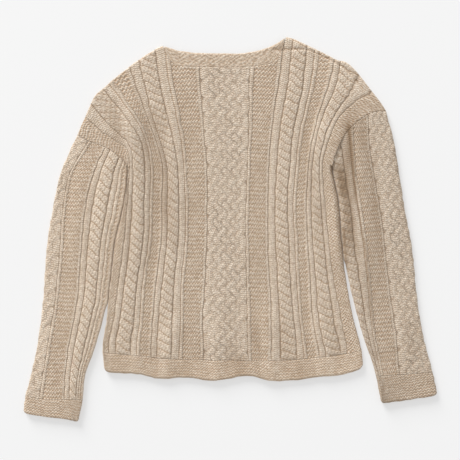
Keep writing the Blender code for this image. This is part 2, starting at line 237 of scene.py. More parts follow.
@dataclass(frozen=True)
class Plait:
    """Eight strands of two stitches, woven over and under one another."""

    lanes: int = 8
    half_step: float = 15.0     # rise of a strand over one lane
    strand: float = 0.98    # half width of a strand, as a share of a lane
    border: float = 2.5     # width of the plain cloth along each side
    dive: float = 0.45      # how far a strand rises over and dives under the others
    turning: float = 0.3    # height of a strand where it turns at the side, in dives
    swell: float = 1.45     # height of a strand's round back
    floor: float = 1.2      # height of the cloth between
    buried: float = -9.0    # height that any strand lies above

    def surface(self, offset: Array, half: float, along: Array) -> Surface:
        """Relief of the plait.

        Args:
            offset: distance from the column's middle.
            half: half width of the column.
            along: distance up the column.

        Returns:
            The relief of whichever strand lies on top at each point.
        """
        lane = 2.0 * (half - self.border) / self.lanes
        best = np.full(offset.shape, self.buried)
        stitch, row = np.zeros_like(best), np.zeros_like(best)
        for strand in range(self.lanes):
            place = np.mod(along / self.half_step + 2.0 * strand, 2.0 * self.lanes)
            rising = place < self.lanes
            ahead = np.where(rising, place - 0.5, 2.0 * self.lanes - 0.5 - place)
            held = np.clip(ahead, 0.0, self.lanes - 1.0)
            centre = (held - (self.lanes - 1) / 2.0) * lane
            over = -np.cos(np.pi * along / self.half_step) * np.where(rising, 1.0, -1.0)
            over = np.where(np.abs(ahead - held) > 0.0, self.turning, over)
            aside = (offset - centre) / (self.strand * lane)
            back = self.swell * (1.0 - aside * aside)
            height = np.where(np.abs(aside) < 1.0, self.dive * over + back, self.buried)
            top = height > best
            best = np.where(top, height, best)
            stitch = np.where(top, aside + 1.0, stitch)
            row = np.where(top, along / ROW + 0.5 * strand, row)
        return Surface(np.maximum(best, self.floor), stitch, row, np.zeros_like(best))


@dataclass(frozen=True)
class Ladder:
    """A band of garter ridges between two chains of knit stitches."""

    pitch: float = 7.4      # distance between ridges
    ridge: float = 0.68     # height of a ridge
    zigzag: float = 1.6     # swing of a ridge between its stitches, in radians
    ground: float = 0.6     # height of the cloth between ridges
    chain: float = 4.0      # width of the knit stitch along each side
    chain_rise: float = 1.05    # height of that stitch over the cloth between ridges
    chain_foot: float = 1.2     # how far before the chain the ridges start to die out
    chain_slope: float = 1.4    # distance over which they die out

    def surface(self, offset: Array, half: float, along: Array) -> Surface:
        """Relief of the ladder.

        Args:
            offset: distance from the column's middle.
            half: half width of the column.
            along: distance up the column.

        Returns:
            The relief of the ridges and the two chains.
        """
        slope_start = half - self.chain - self.chain_foot
        side = smooth_step((np.abs(offset) - slope_start) / self.chain_slope)
        zigzag = self.zigzag * np.cos(2.0 * np.pi * offset / STITCH)
        crest = 0.5 + 0.5 * np.cos(2.0 * np.pi * along / self.pitch + zigzag)
        rungs = self.ground + self.ridge * crest
        height = rungs * (1.0 - side) + (self.ground + self.chain_rise) * side
        inward = (np.abs(offset) - half) / self.chain + 0.5
        stitch = np.where(side > 0.5, 1.5 + 0.5 * inward, offset / STITCH)
        return Surface(height, stitch, 2.0 * along / self.pitch, 1.0 - side)


@dataclass(frozen=True)
class Rib:
    """Two knit stitches that stand up between purl grooves."""

    rise: float = 1.9       # height of the rib

    def surface(self, offset: Array, half: float, along: Array) -> Surface:
        """Relief of the rib.

        Args:
            offset: distance from the column's middle.
            half: half width of the column.
            along: distance up the column.

        Returns:
            The relief of the two stitches as one round bar.
        """
        share = offset / half
        height = self.rise * dome(ARCH * share)
        return Surface(height, share + 1.0, along / ROW, np.zeros_like(height))


@dataclass(frozen=True)
class Seed:
    """Seed stitch, or with wider and flatter bumps moss stitch: single bumps in a check."""

    bump: float = 0.5       # height of a bump
    ground: float = 1.2     # mean height of the stitch
    spacing: float = 0.72   # distance between bumps, in stitches and rows
    stray: float = 1.2      # how far the bumps stray from an even check
    patch: float = 6.0      # size of a patch in which they stray together
    quiet: float = 0.0      # how much fainter the single stitches show, 0 to 1

    def surface(self, offset: Array, half: float, along: Array) -> Surface:
        """Relief of the bumps.

        Args:
            offset: distance from the column's middle.
            half: half width of the column, not used.
            along: distance up the column.
        """
        aside = offset + Stray(self.stray, self.patch, 31).at(offset, along)
        up = along + Stray(self.stray, self.patch, 32).at(offset, along)
        stitch, row = aside / (self.spacing * STITCH), up / (self.spacing * ROW)
        check = np.cos(np.pi * stitch) * np.cos(np.pi * row)
        purl = np.full_like(check, 2.0 + self.quiet)
        return Surface(self.ground + self.bump * check, stitch, row, purl)


@dataclass(frozen=True)
class Garter:
    """Garter ridges all the way across."""

    pitch: float = 4.7      # distance between ridges
    ridge: float = 0.45     # height of a ridge
    zigzag: float = 1.4     # swing of a ridge between its stitches, in radians
    ground: float = 1.3     # height of the cloth between ridges
    stray: Stray = Stray(2.4, 13.0, 33)     # of the ridges from an even row, in radians

    def surface(self, offset: Array, half: float, along: Array) -> Surface:
        """Relief of the ridges.

        Args:
            offset: distance from the column's middle.
            half: half width of the column, not used.
            along: distance up the column.

        Returns:
            The relief of the ridges.
        """
        zigzag = self.zigzag * np.cos(2.0 * np.pi * offset / STITCH)
        phase = 2.0 * np.pi * along / self.pitch + self.stray.at(offset, along)
        crest = 0.5 + 0.5 * np.cos(phase + zigzag)
        return Surface(self.ground + self.ridge * crest, offset / STITCH, phase / np.pi,
                       np.ones_like(crest))


PATTERNS = {
    Knit.PLAIT: Plait(),
    Knit.LADDER: Ladder(),
    Knit.RIB: Rib(),
    Knit.ROPE: Rope(),
    Knit.SEED: Seed(),
    Knit.MOSS: Seed(bump=0.28, spacing=0.92, stray=2.6, quiet=0.7),
    Knit.GARTER: Garter(),
}


class Column(NamedTuple):
    """One column of a stitch pattern, or the part of it on one side of a fold."""

    knit: Knit
    width: float
    whole: float = 0.0      # full width, where only a part of it shows
    hidden: float = 0.0     # width of its hidden part on the lower side of across


@dataclass(frozen=True)
class Columns:
    """Columns side by side, from the across position start onwards."""

    start: float
    columns: tuple[Column, ...]
    groove: float = 1.5     # half width of the purl groove between columns
    shallow: float = 0.30   # share of a column's height that is left in the groove
    grooved: bool = True
    turned: bool = False    # whether across runs to the left of the garment

    def edges(self) -> list[float]:
        """Across positions of the edges of the columns.

        Returns:
            The positions in rising order, one more than there are columns.
        """
        places = [self.start]
        for column in self.columns:
            places.append(places[-1] + column.width)
        return places

    def samples(self, step: float, fold: Sequence[float] = ()) -> Array:
        """Across positions of the shell's points, with one on every groove.

        Args:
            step: largest distance between points.
            fold: distances from both outer edges that get points of their own.

        Returns:
            The positions in rising order.
        """
        places = [self.start]
        near = [GROOVE_POINT] if self.grooved else []
        for column in self.columns:
            fine = step if column.knit in (Knit.PLAIT, Knit.ROPE, Knit.RIB) else STITCH / 3.0
            cells = max(2, int(np.ceil(column.width / fine)))
            left = places[-1]
            places += [left + offset for offset in near]
            places += [left + column.width / cells * (k + 1) for k in range(cells - 1)]
            places += [left + column.width - offset for offset in near] + [left + column.width]
        places = np.array(places)
        if not len(fold):
            return places
        room = fold[-1] + 0.4   # keeps the other points clear of the fold's own
        inside = (places > places[0] + room) & (places < places[-1] - room)
        low = places[0] + np.array(fold)
        high = places[-1] - np.array(fold)[::-1]
        return np.concatenate([low, places[inside], high])

    def surface(self, across: Array, along: Array) -> Surface:
        """Relief of all the columns.

        Args:
            across: across coordinate of each point.
            along: distance of each point up its column.

        Returns:
            The relief at each point, sunk in the grooves between columns.
        """
        parts = [np.zeros(across.shape) for _ in Surface._fields]
        places = self.edges()
        for column, left, right in zip(self.columns, places, places[1:]):
            half = (column.whole or right - left) / 2.0
            inside = (across >= left) & (across <= right)
            offset = across[inside] - left + column.hidden - half
            if self.turned:
                offset = -offset
            made = PATTERNS[column.knit].surface(offset, half, along[inside])
            height = made.height
            if self.grooved:
                bank = smooth_step((half - np.abs(offset)) / self.groove)
                height = height * (self.shallow + (1.0 - self.shallow) * bank)
            for part, values in zip(parts, (height, made.stitch, made.row, made.purl)):
                part[inside] = values
        return Surface(*parts)


# The right half of a body panel, from the plait outwards
BODY_HALF = (
    Column(Knit.LADDER, 39.0),
    Column(Knit.RIB, 14.0),
    Column(Knit.ROPE, 23.0),
    Column(Knit.RIB, 11.0),
    Column(Knit.LADDER, 24.0),
    Column(Knit.RIB, 10.0),
    Column(Knit.ROPE, 21.0),
    Column(Knit.RIB, 9.0),
    Column(Knit.SEED, 24.0),
)
BODY_COLUMNS = Columns(-SIDE, BODY_HALF[::-1] + (Column(Knit.PLAIT, 72.0),) + BODY_HALF)
BAND_COLUMNS = Columns(-SIDE, (Column(Knit.GARTER, 2 * SIDE),), grooved=False)
COLLAR_COLUMNS = Columns(-NECK_END, (Column(Knit.MOSS, 2 * NECK_END),), grooved=False)
FOLD_STEPS = (0.0, 0.5, 1.3, 2.6, 4.2)     # distances from a fold that get points of their own


def smooth_curve(stations: Array, values: Array, at: Array) -> Array:
    """Cubic curve through given points.

    Args:
        stations: where the points are, in rising order.
        values: value at each of them.
        at: where to read the curve.

    Returns:
        The curve's values at those places.
    """
    slopes = np.gradient(values, stations)
    index = np.clip(np.searchsorted(stations, at, side="right") - 1, 0, len(stations) - 2)
    span = stations[index + 1] - stations[index]
    t = (at - stations[index]) / span
    return ((2 * t**3 - 3 * t**2 + 1) * values[index]
            + (t**3 - 2 * t**2 + t) * span * slopes[index]
            + (3 * t**2 - 2 * t**3) * values[index + 1]
            + (t**3 - t**2) * span * slopes[index + 1])


@dataclass(frozen=True)
class Lie:
    """Where cloth lies: for some guide columns, their places at a row of sections."""

    guides: tuple[float, ...]
    stations: tuple[float, ...]
    places: tuple[tuple[Pair, ...], ...]
    strays: tuple[Stray, Stray] = (Stray(0.6, 8.5, 41), Stray(0.6, 8.5, 42))

    def place(self, across: Array, along: Array) -> Array:
        """Surface place of each cloth point.

        Args:
            across: across coordinate of each point.
            along: along coordinate of each point.

        Returns:
            An array with one more axis, which holds x and y.
        """
        stations, table = np.array(self.stations), np.array(self.places, dtype=float)
        guides = np.array(self.guides, dtype=float)
        right = np.clip(np.searchsorted(guides, across), 1, len(guides) - 1)
        span = guides[right] - guides[right - 1]
        t = (across - guides[right - 1]) / span
        weights = (2 * t**3 - 3 * t**2 + 1, (t**3 - 2 * t**2 + t) * span,
                   3 * t**2 - 2 * t**3, (t**3 - t**2) * span)
        place = np.empty(across.shape + (2,))
        for axis in (0, 1):
            curves = np.stack([smooth_curve(stations, table[:, k, axis], along)
                               for k in range(len(guides))], axis=-1)
            slopes = np.gradient(curves, guides, axis=-1)
            ends = [np.take_along_axis(values, index[..., None], axis=-1)[..., 0]
                    for index in (right - 1, right) for values in (curves, slopes)]
            place[..., axis] = sum(weight * end for weight, end in zip(weights, ends))
            place[..., axis] += self.strays[axis].at(across, along)
        return place


BODY_LIE = Lie(
    (-211, -187, -178, -147, -112, -75, -36, 36, 75, 112, 147, 178, 187, 211),
    (-33, 0, 71, 142, 213, 284, 346, 399, 443, 482, 554),
    (
        # hem edge
        ((-222, -250), (-206, -253), (-195, -254), (-160, -256), (-127, -261), (-90, -263),
         (-50, -263), (34, -262), (74, -263), (120, -264), (157, -261), (196, -257),
         (209, -254), (234, -243)),
        # hem seam
        ((-226, -216), (-214, -218), (-202, -219), (-165, -222), (-129, -227), (-90, -229),
         (-48, -230), (32, -231), (72, -231), (118, -229), (156, -225), (194, -221),
         (206, -219), (231, -213)),
        # hip
        ((-219, -160), (-207, -160), (-195, -160), (-160, -160), (-127, -160), (-88, -160),
         (-49, -160), (30, -160), (72, -160), (112, -160), (145, -160), (182, -160),
         (196, -160), (217, -158)),
        # low waist
        ((-212, -89), (-197, -89), (-186, -89), (-154, -89), (-120, -89), (-86, -89),
         (-45, -89), (29, -89), (69, -89), (106, -89), (141, -89), (172, -89),
         (182, -89), (204, -89)),
        # waist
        ((-203, -18), (-187, -18), (-177, -18), (-144, -18), (-112, -18), (-80, -18),
         (-42, -18), (27, -18), (66, -18), (103, -18), (136, -18), (164, -18),
         (173, -18), (196, -18)),
        # chest
        ((-187, 53), (-181, 53), (-173, 53), (-142, 53), (-111, 53), (-79, 53),
         (-41, 53), (28, 53), (66, 53), (100, 53), (134, 53), (159, 53),
         (166, 53), (190, 53)),
        # underarm
        ((-183, 112), (-178, 116), (-172, 116), (-141, 115), (-112, 115), (-82, 115),
         (-42, 115), (30, 115), (68, 115), (105, 115), (138, 115), (157, 116),
         (163, 117), (180, 113)),
        # low armhole
        ((-199, 131), (-183, 143), (-178, 150), (-152, 166), (-127, 168), (-88, 168),
         (-47, 168), (32, 168), (72, 168), (110, 168), (146, 168), (168, 169),
         (175, 164), (193, 152)),
        # mid armhole
        ((-222, 146), (-203, 157), (-199, 171), (-171, 200), (-141, 212), (-97, 212),
         (-50, 212), (33, 212), (77, 212), (119, 212), (158, 212), (184, 203),
         (192, 199), (212, 180)),
        # high armhole
        ((-245, 154), (-229, 175), (-224, 196), (-196, 235), (-150, 251), (-106, 251),
         (-53, 251), (33, 251), (84, 251), (127, 251), (172, 251), (206, 235),
         (216, 223), (240, 202)),
        # shoulder
        ((-271, 167), (-256, 201), (-247, 223), (-215, 258), (-162, 300), (-116, 325),
         (-56, 325), (38, 327), (95, 340), (135, 326), (183, 302), (225, 276),
         (250, 244), (275, 210)),
    ),
)
LEFT_LIE = Lie(
    (0, 21, 59, 114),
    (0, 60, 105, 195, 283, 372, 425, 458, 496),
    (
        ((-273, 170), (-252, 157), (-222, 148), (-184, 111)),
        ((-301, 97), (-284, 97), (-242, 97), (-182.9, 88)),
        ((-311, 53), (-293, 53), (-253, 53), (-187.6, 50)),
        ((-325, -36), (-301, -36), (-263, -36), (-206, -36)),
        ((-331, -124), (-309, -124), (-270, -124), (-217.5, -124)),
        ((-343, -213), (-323, -213), (-286, -213), (-241, -213)),
        ((-355, -266), (-332, -266), (-292, -266), (-258, -264)),
        ((-362, -293), (-337, -298), (-293, -300), (-261, -300)),
        ((-366, -323), (-341, -328), (-293, -334), (-269, -339)),
    ),
)
RIGHT_LIE = Lie(
    (0, 48, 87, 114),
    (0, 45, 105, 165, 237, 308, 380, 457, 503),
    (
        ((275, 211), (243, 204), (210, 178), (181, 111)),
        ((288, 159), (244, 159), (213, 141), (180.9, 98)),
        ((298, 97), (253, 97), (217, 92), (185.8, 76)),
        ((308, 35), (264, 35), (226, 35), (192.2, 35)),
        ((321, -36), (273, -36), (236, -36), (198.8, -36)),
        ((328, -107), (281, -107), (243, -107), (212.6, -107)),
        ((338, -177), (291, -177), (250, -177), (231, -177)),
        ((357, -252), (298, -256), (266, -258), (257, -258)),
        ((366, -292), (302, -302), (274, -305), (266, -305)),
    ),
)


# How far the hem's edge waves, at places across
HEM_WAVE = ((-211, 0.0), (-150, 1.0), (-112, -1.5), (-64, 2.5), (-18, -3.5), (36, 4.0),
            (72, -3.5), (112, -1.0), (150, 1.5), (211, 0.0))


class Fold(NamedTuple):
    """A soft ridge, or with a negative height a trough, of the upper layer."""

    start: Pair
    end: Pair
    width: float
    height: float
    fade: float = 45.0      # distance over which it dies out at its ends


# Folds of the laid cloth
BODY_FOLDS = (
    Fold((-180, 222), (-160, 60), 15, 4.4),
    Fold((-160, 60), (-166, -60), 14, 3.0),
    Fold((-102, 215), (-99, -20), 11, 1.8),
    Fold((180, 190), (192, -60), 19, 4.6),
    Fold((-181, 110), (-196, -60), 10, 2.6),
    Fold((205, 225), (156, 110), 20, 0.9),
    Fold((122, 90), (118, -70), 15, 0.7),
    Fold((158, 190), (160, 50), 15, 2.4, 30.0),
    Fold((-112, -256), (-106, -170), 15, 3.4),
    Fold((-24, -262), (-24, -170), 13, 3.2),
    Fold((74, -258), (66, -150), 15, 3.8),
    Fold((168, -252), (150, -150), 15, 2.8),
    Fold((-166, -250), (-158, -180), 10, 1.6),
)
SLEEVE_FOLDS = (
    Fold((-262, 120), (-280, -60), 16, 1.8),
    Fold((-318, -170), (-334, -270), 14, 1.6),
    Fold((-222, 118), (-240, -70), 14, 1.0),
    Fold((268, 150), (292, -30), 18, 1.8),
    Fold((300, -140), (322, -250), 15, 1.6),
    Fold((226, 160), (246, -80), 15, 3.6),
    Fold((-322, -262), (-318, -318), 10, 1.6),
    Fold((266, -240), (270, -300), 26, 3.6, 30.0),
)
# Patches of painted shade, mostly in hollows between folds and along the seams: the height is the share
# of shade
HOLLOWS = (
    Fold((207, 188), (209, 112), 9, 0.60, 18.0),
    Fold((200, 112), (211, -30), 10, 0.56, 30.0),
    Fold((227, 180), (233, 138), 9, 0.34, 12.0),
    Fold((189, 114), (199, 62), 7, 0.66, 12.0),
    Fold((199, 4), (205, -74), 2.6, 0.7, 10.0),
    Fold((203, 240), (222, 192), 14, 0.16, 20.0),
    Fold((209, 182), (221, 55), 3, 1.0, 12.0),
    Fold((221, 55), (238, -36), 1.8, 0.7, 6.0),
    Fold((238, -36), (252, -177), 1.6, 0.6, 10.0),
    Fold((230, -25), (240, -160), 10, 0.22, 30.0),
    Fold((312, -165), (324, -238), 13, 0.25, 25.0),
    Fold((-140, 212), (-114, 95), 10, 0.30, 28.0),
    Fold((-114, 95), (-108, -20), 10, 0.38, 30.0),
    Fold((20, -270), (18, -222), 13, 0.45, 12.0),
    Fold((-76, -270), (-74, -225), 10, 0.22, 12.0),
    Fold((124, -270), (122, -225), 13, 0.32, 12.0),
    Fold((-203, -262), (-199, -222), 10, 0.25, 12.0),
)
# Patches of flatter knit: the height is the share of the relief that is lost
CALMS = (
    Fold((-245, 215), (-190, 130), 32, 0.65, 25.0),
    Fold((178, 262), (240, 215), 30, 0.35, 25.0),
)


def fold_lift(place: Array, folds: Sequence[Fold]) -> Array:
    """Height that folds add to the cloth.

    Args:
        place: surface place of each point.
        folds: the folds.

    Returns:
        The height at each point.
    """
    lift = np.zeros(place.shape[:-1])
    for fold in folds:
        start, end = np.array(fold.start, float), np.array(fold.end, float)
        length = float(np.linalg.norm(end - start))
        direction = (end - start) / length
        offset = place - start
        along = offset @ direction
        aside = offset[..., 0] * direction[1] - offset[..., 1] * direction[0]
        inside = np.minimum(along, length - along) / fold.fade
        taper = 1.0 / (1.0 + np.exp(-4.0 * inside))
        lift += fold.height * taper * np.exp(-(aside / fold.width) ** 2)
    return lift


class Crease(NamedTuple):
    """A narrow line pressed into the cloth, such as a seam, through a few points."""

    points: tuple[Pair, ...]
    width: float
    depth: float


SHOULDER_SEAM = Crease(
    ((75, 318), (123, 319), (140, 317), (157, 309), (179, 299), (199, 286), (214, 272),
     (225, 259), (233, 249)), 1.8, 1.6)


def crease_depth(place: Array, crease: Crease) -> Array:
    """Depth that a crease presses into the cloth.

    Args:
        place: surface place of each point.
        crease: the crease.

    Returns:
        The depth at each point.
    """
    nearest = np.full(place.shape[:-1], np.inf)
    for start, end in zip(crease.points, crease.points[1:]):
        first, last = np.array(start, float), np.array(end, float)
        run = last - first
        share = np.clip(((place - first) @ run) / float(run @ run), 0.0, 1.0)
        gap = np.linalg.norm(place - (first + share[..., None] * run), axis=-1)
        nearest = np.minimum(nearest, gap)
    return crease.depth * np.exp(-(nearest / crease.width) ** 2)


def rounded(distance: Array, least: float = 0.12) -> Array:
    """Share of the wall that stands at a distance from a folded edge."""
    near = np.clip(distance / FOLD_RADIUS, 0.0, 1.0)
    return least + (1.0 - least) * np.sqrt(1.0 - (1.0 - near) ** 2)


def lipped(distance: Array, least: float) -> Array:
    """Share of the wall that stands at a distance from a free edge."""
    return least + (1.0 - least) * dome(1.0 - np.clip(distance / LIP_RADIUS, 0.0, 1.0))


def pressed(relief: Array) -> Array:
    """Height over the floor of a relief that is pressed on it."""
    return np.clip(PRESSED * (TALLEST - relief), 0.0, PRESSED_MOST)


def corner_cut(distance: Array) -> Array:
    """Length that a rounded lower corner takes off, at a distance from the side."""
    near = np.clip(1.0 - distance / CORNER, 0.0, 1.0)
    return CORNER * (1.0 - np.sqrt(1.0 - near * near))


def blurred(values: Array, reach: int) -> Array:
    """Values averaged over a square of neighbours, three times over.

    Args:
        values: a grid of values.
        reach: how many neighbours on each side are averaged.

    Returns:
        The smoothed grid.
    """
    size = 2 * reach + 1
    for _ in range(3):
        for axis in (0, 1):
            width = [(0, 0), (0, 0)]
            width[axis] = (reach + 1, reach)
            total = np.cumsum(np.pad(values, width, mode="edge"), axis=axis)
            high = np.take(total, range(size, total.shape[axis]), axis=axis)
            low = np.take(total, range(0, total.shape[axis] - size), axis=axis)
            values = (high - low) / size
    return values


def climb(place: Array) -> Array:
    """Distance along each column of a grid of places, from its first row."""
    steps = np.linalg.norm(np.diff(place, axis=0), axis=-1)
    return np.concatenate([np.zeros((1,) + steps.shape[1:]), np.cumsum(steps, axis=0)])


def thinned(count: int) -> list[int]:
    """Every INNER_STRIDE-th index below count, with the last one."""
    return list(range(0, count - 1, INNER_STRIDE)) + [count - 1]


@dataclass(frozen=True)
class Shell:
    """A closed shell of cloth: a fine outer skin, a coarse inner skin and their rims."""

    name: str
    outer: Array            # a grid of points
    inner: Array            # the points of the inner skin, a grid thinned by INNER_STRIDE
    knit: Array             # stitch, row and purl of each outer point
    form: Array             # cavity, crest and hollow of each outer point, the shares of painted shade and highlight
    ring: bool = False      # whether each row of the grid is a closed loop

    def columns(self) -> list[int]:
        """Outer columns that have an inner one under them.

        Returns:
            Their numbers in rising order.
        """
        count = self.outer.shape[1]
        if self.ring:
            return list(range(0, count, INNER_STRIDE))
        return thinned(count)

    def rim(self, outer_line: list[int], inner_line: list[int], picked: list[int]
            ) -> list[tuple[int, int, int]]:
        """Triangles between one edge of the outer skin and one of the inner skin.

        Args:
            outer_line: vertex numbers along the outer edge.
            inner_line: vertex numbers along the inner edge.
            picked: positions in outer_line that the inner vertices stand under.

        Returns:
            The faces as tuples of vertex numbers.
        """
        faces = []
        for k in range(len(picked) - 1):
            first, last = picked[k], picked[k + 1]
            middle = (first + last) // 2
            near, far = inner_line[k], inner_line[k + 1]
            faces += [(near, outer_line[i], outer_line[i + 1]) for i in range(first, middle)]
            faces.append((near, outer_line[middle], far))
            faces += [(far, outer_line[i], outer_line[i + 1]) for i in range(middle, last)]
        return faces

    def build(self) -> bpy.types.Object:
        """Make the mesh, with its knit and form attributes.

        Returns:
            The new object, linked to the scene.
        """
        rows, count = self.outer.shape[:2]
        picked_rows, picked_columns = thinned(rows), self.columns()
        low_rows, low_count = len(picked_rows), len(picked_columns)
        outer = np.arange(rows * count).reshape(rows, count)
        inner = np.arange(low_rows * low_count).reshape(low_rows, low_count) + rows * count
        if self.ring:
            outer = np.concatenate([outer, outer[:, :1]], axis=1)
            inner = np.concatenate([inner, inner[:, :1]], axis=1)
            picked_columns = picked_columns + [count]
        faces = []
        for grid, turned in ((outer, False), (inner, True)):
            quads = np.stack([grid[:-1, :-1], grid[:-1, 1:], grid[1:, 1:], grid[1:, :-1]], axis=-1)
            quads = quads.reshape(-1, 4)
            faces += (quads[:, ::-1] if turned else quads).tolist()
        skin = len(faces)
        for end in (0, -1):
            faces += self.rim(outer[end].tolist(), inner[end].tolist(), picked_columns)
        if not self.ring:
            for end in (0, -1):
                faces += self.rim(outer[:, end].tolist(), inner[:, end].tolist(), picked_rows)
        points = np.concatenate([self.outer.reshape(-1, 3), self.inner.reshape(-1, 3)]) * MM
        mesh = bpy.data.meshes.new(self.name)
        mesh.from_pydata(points.tolist(), [], faces)
        self.carry(mesh, low_rows * low_count)
        solid = bmesh.new()
        solid.from_mesh(mesh)
        bmesh.ops.recalc_face_normals(solid, faces=solid.faces)
        solid.to_mesh(mesh)
        solid.free()
        mesh.polygons.foreach_set("use_smooth", np.arange(len(faces)) < skin)
        piece = bpy.data.objects.new(self.name, mesh)
        bpy.context.scene.collection.objects.link(piece)
        return piece

    def carry(self, mesh: bpy.types.Mesh, inner_count: int) -> None:
        """Store the knit and form values on the mesh's points, plain on the inner skin.

        Args:
            mesh: the shell's mesh.
            inner_count: how many points the inner skin has.
        """
        for name, values in (("knit", self.knit), ("form", self.form)):
            plain = np.zeros((inner_count, 3))
            layer = mesh.attributes.new(name, "FLOAT_VECTOR", "POINT")
            layer.data.foreach_set("vector", np.concatenate([values.reshape(-1, 3), plain]).ravel())


def form_values(relief: Array, lift: Array, place: Array) -> Array:
    """Cavity, crest and hollow shares of each point, by which the finish paints shade in grooves, a
    highlight on tops and shade in troughs.

    Args:
        relief: height of the stitch pattern.
        lift: height of the folds.
        place: surface place of each point.

    Returns:
        The three shares: grooves, tops of the pattern, and troughs between folds with the patches of
            painted shade added.
    """
    full_cavity, full_crest, full_trough = 0.8, 2.0, 2.4
    near, wide, wider = 1, 5, 9
    cavity = np.clip((blurred(relief, near) - relief) / full_cavity, 0.0, 1.0)
    crest = np.clip((relief - blurred(relief, wide)) / full_crest, 0.0, 1.0)
    trough = np.clip((blurred(lift, wider) - lift) / full_trough, 0.0, 1.0)
    hollow = np.clip(trough + fold_lift(place, HOLLOWS), 0.0, 1.0)
    return np.stack([cavity, crest, hollow], axis=-1)


def dying_out(relief: Array, distance: Array) -> Array:
    """Relief that comes down to that of a band as it nears the seam with the band."""
    share = smooth_step(distance / SEAM_FADE)
    return BAND_RELIEF + share * (relief - BAND_RELIEF)


def with_depth(place: Array, depth: Array) -> Array:
    """Points from surface places and depths."""
    return np.concatenate([place, depth[..., None]], axis=-1)


def knit_values(made: Surface) -> Array:
    """The stitch coordinates of a relief in one array."""
    return np.stack([made.stitch, made.row, made.purl], axis=-1)


def rows_between(bottom: Array, top: Array, step: float) -> Array:
    """Rows of points between a bottom and a top edge.

    Args:
        bottom: height of the bottom edge at each column.
        top: height of the top edge at each column.
        step: largest distance between rows.

    Returns:
        A grid of heights, equally spaced in each column.
    """
    count = int(np.ceil(float(np.max(np.abs(top - bottom))) / step))
    share = np.linspace(0.0, 1.0, count + 1)[:, None]
    return bottom + share * (top - bottom)


class Layer(Enum):
    """Which layer of the body a piece belongs to."""

    BACK = "back"
    FRONT = "front"


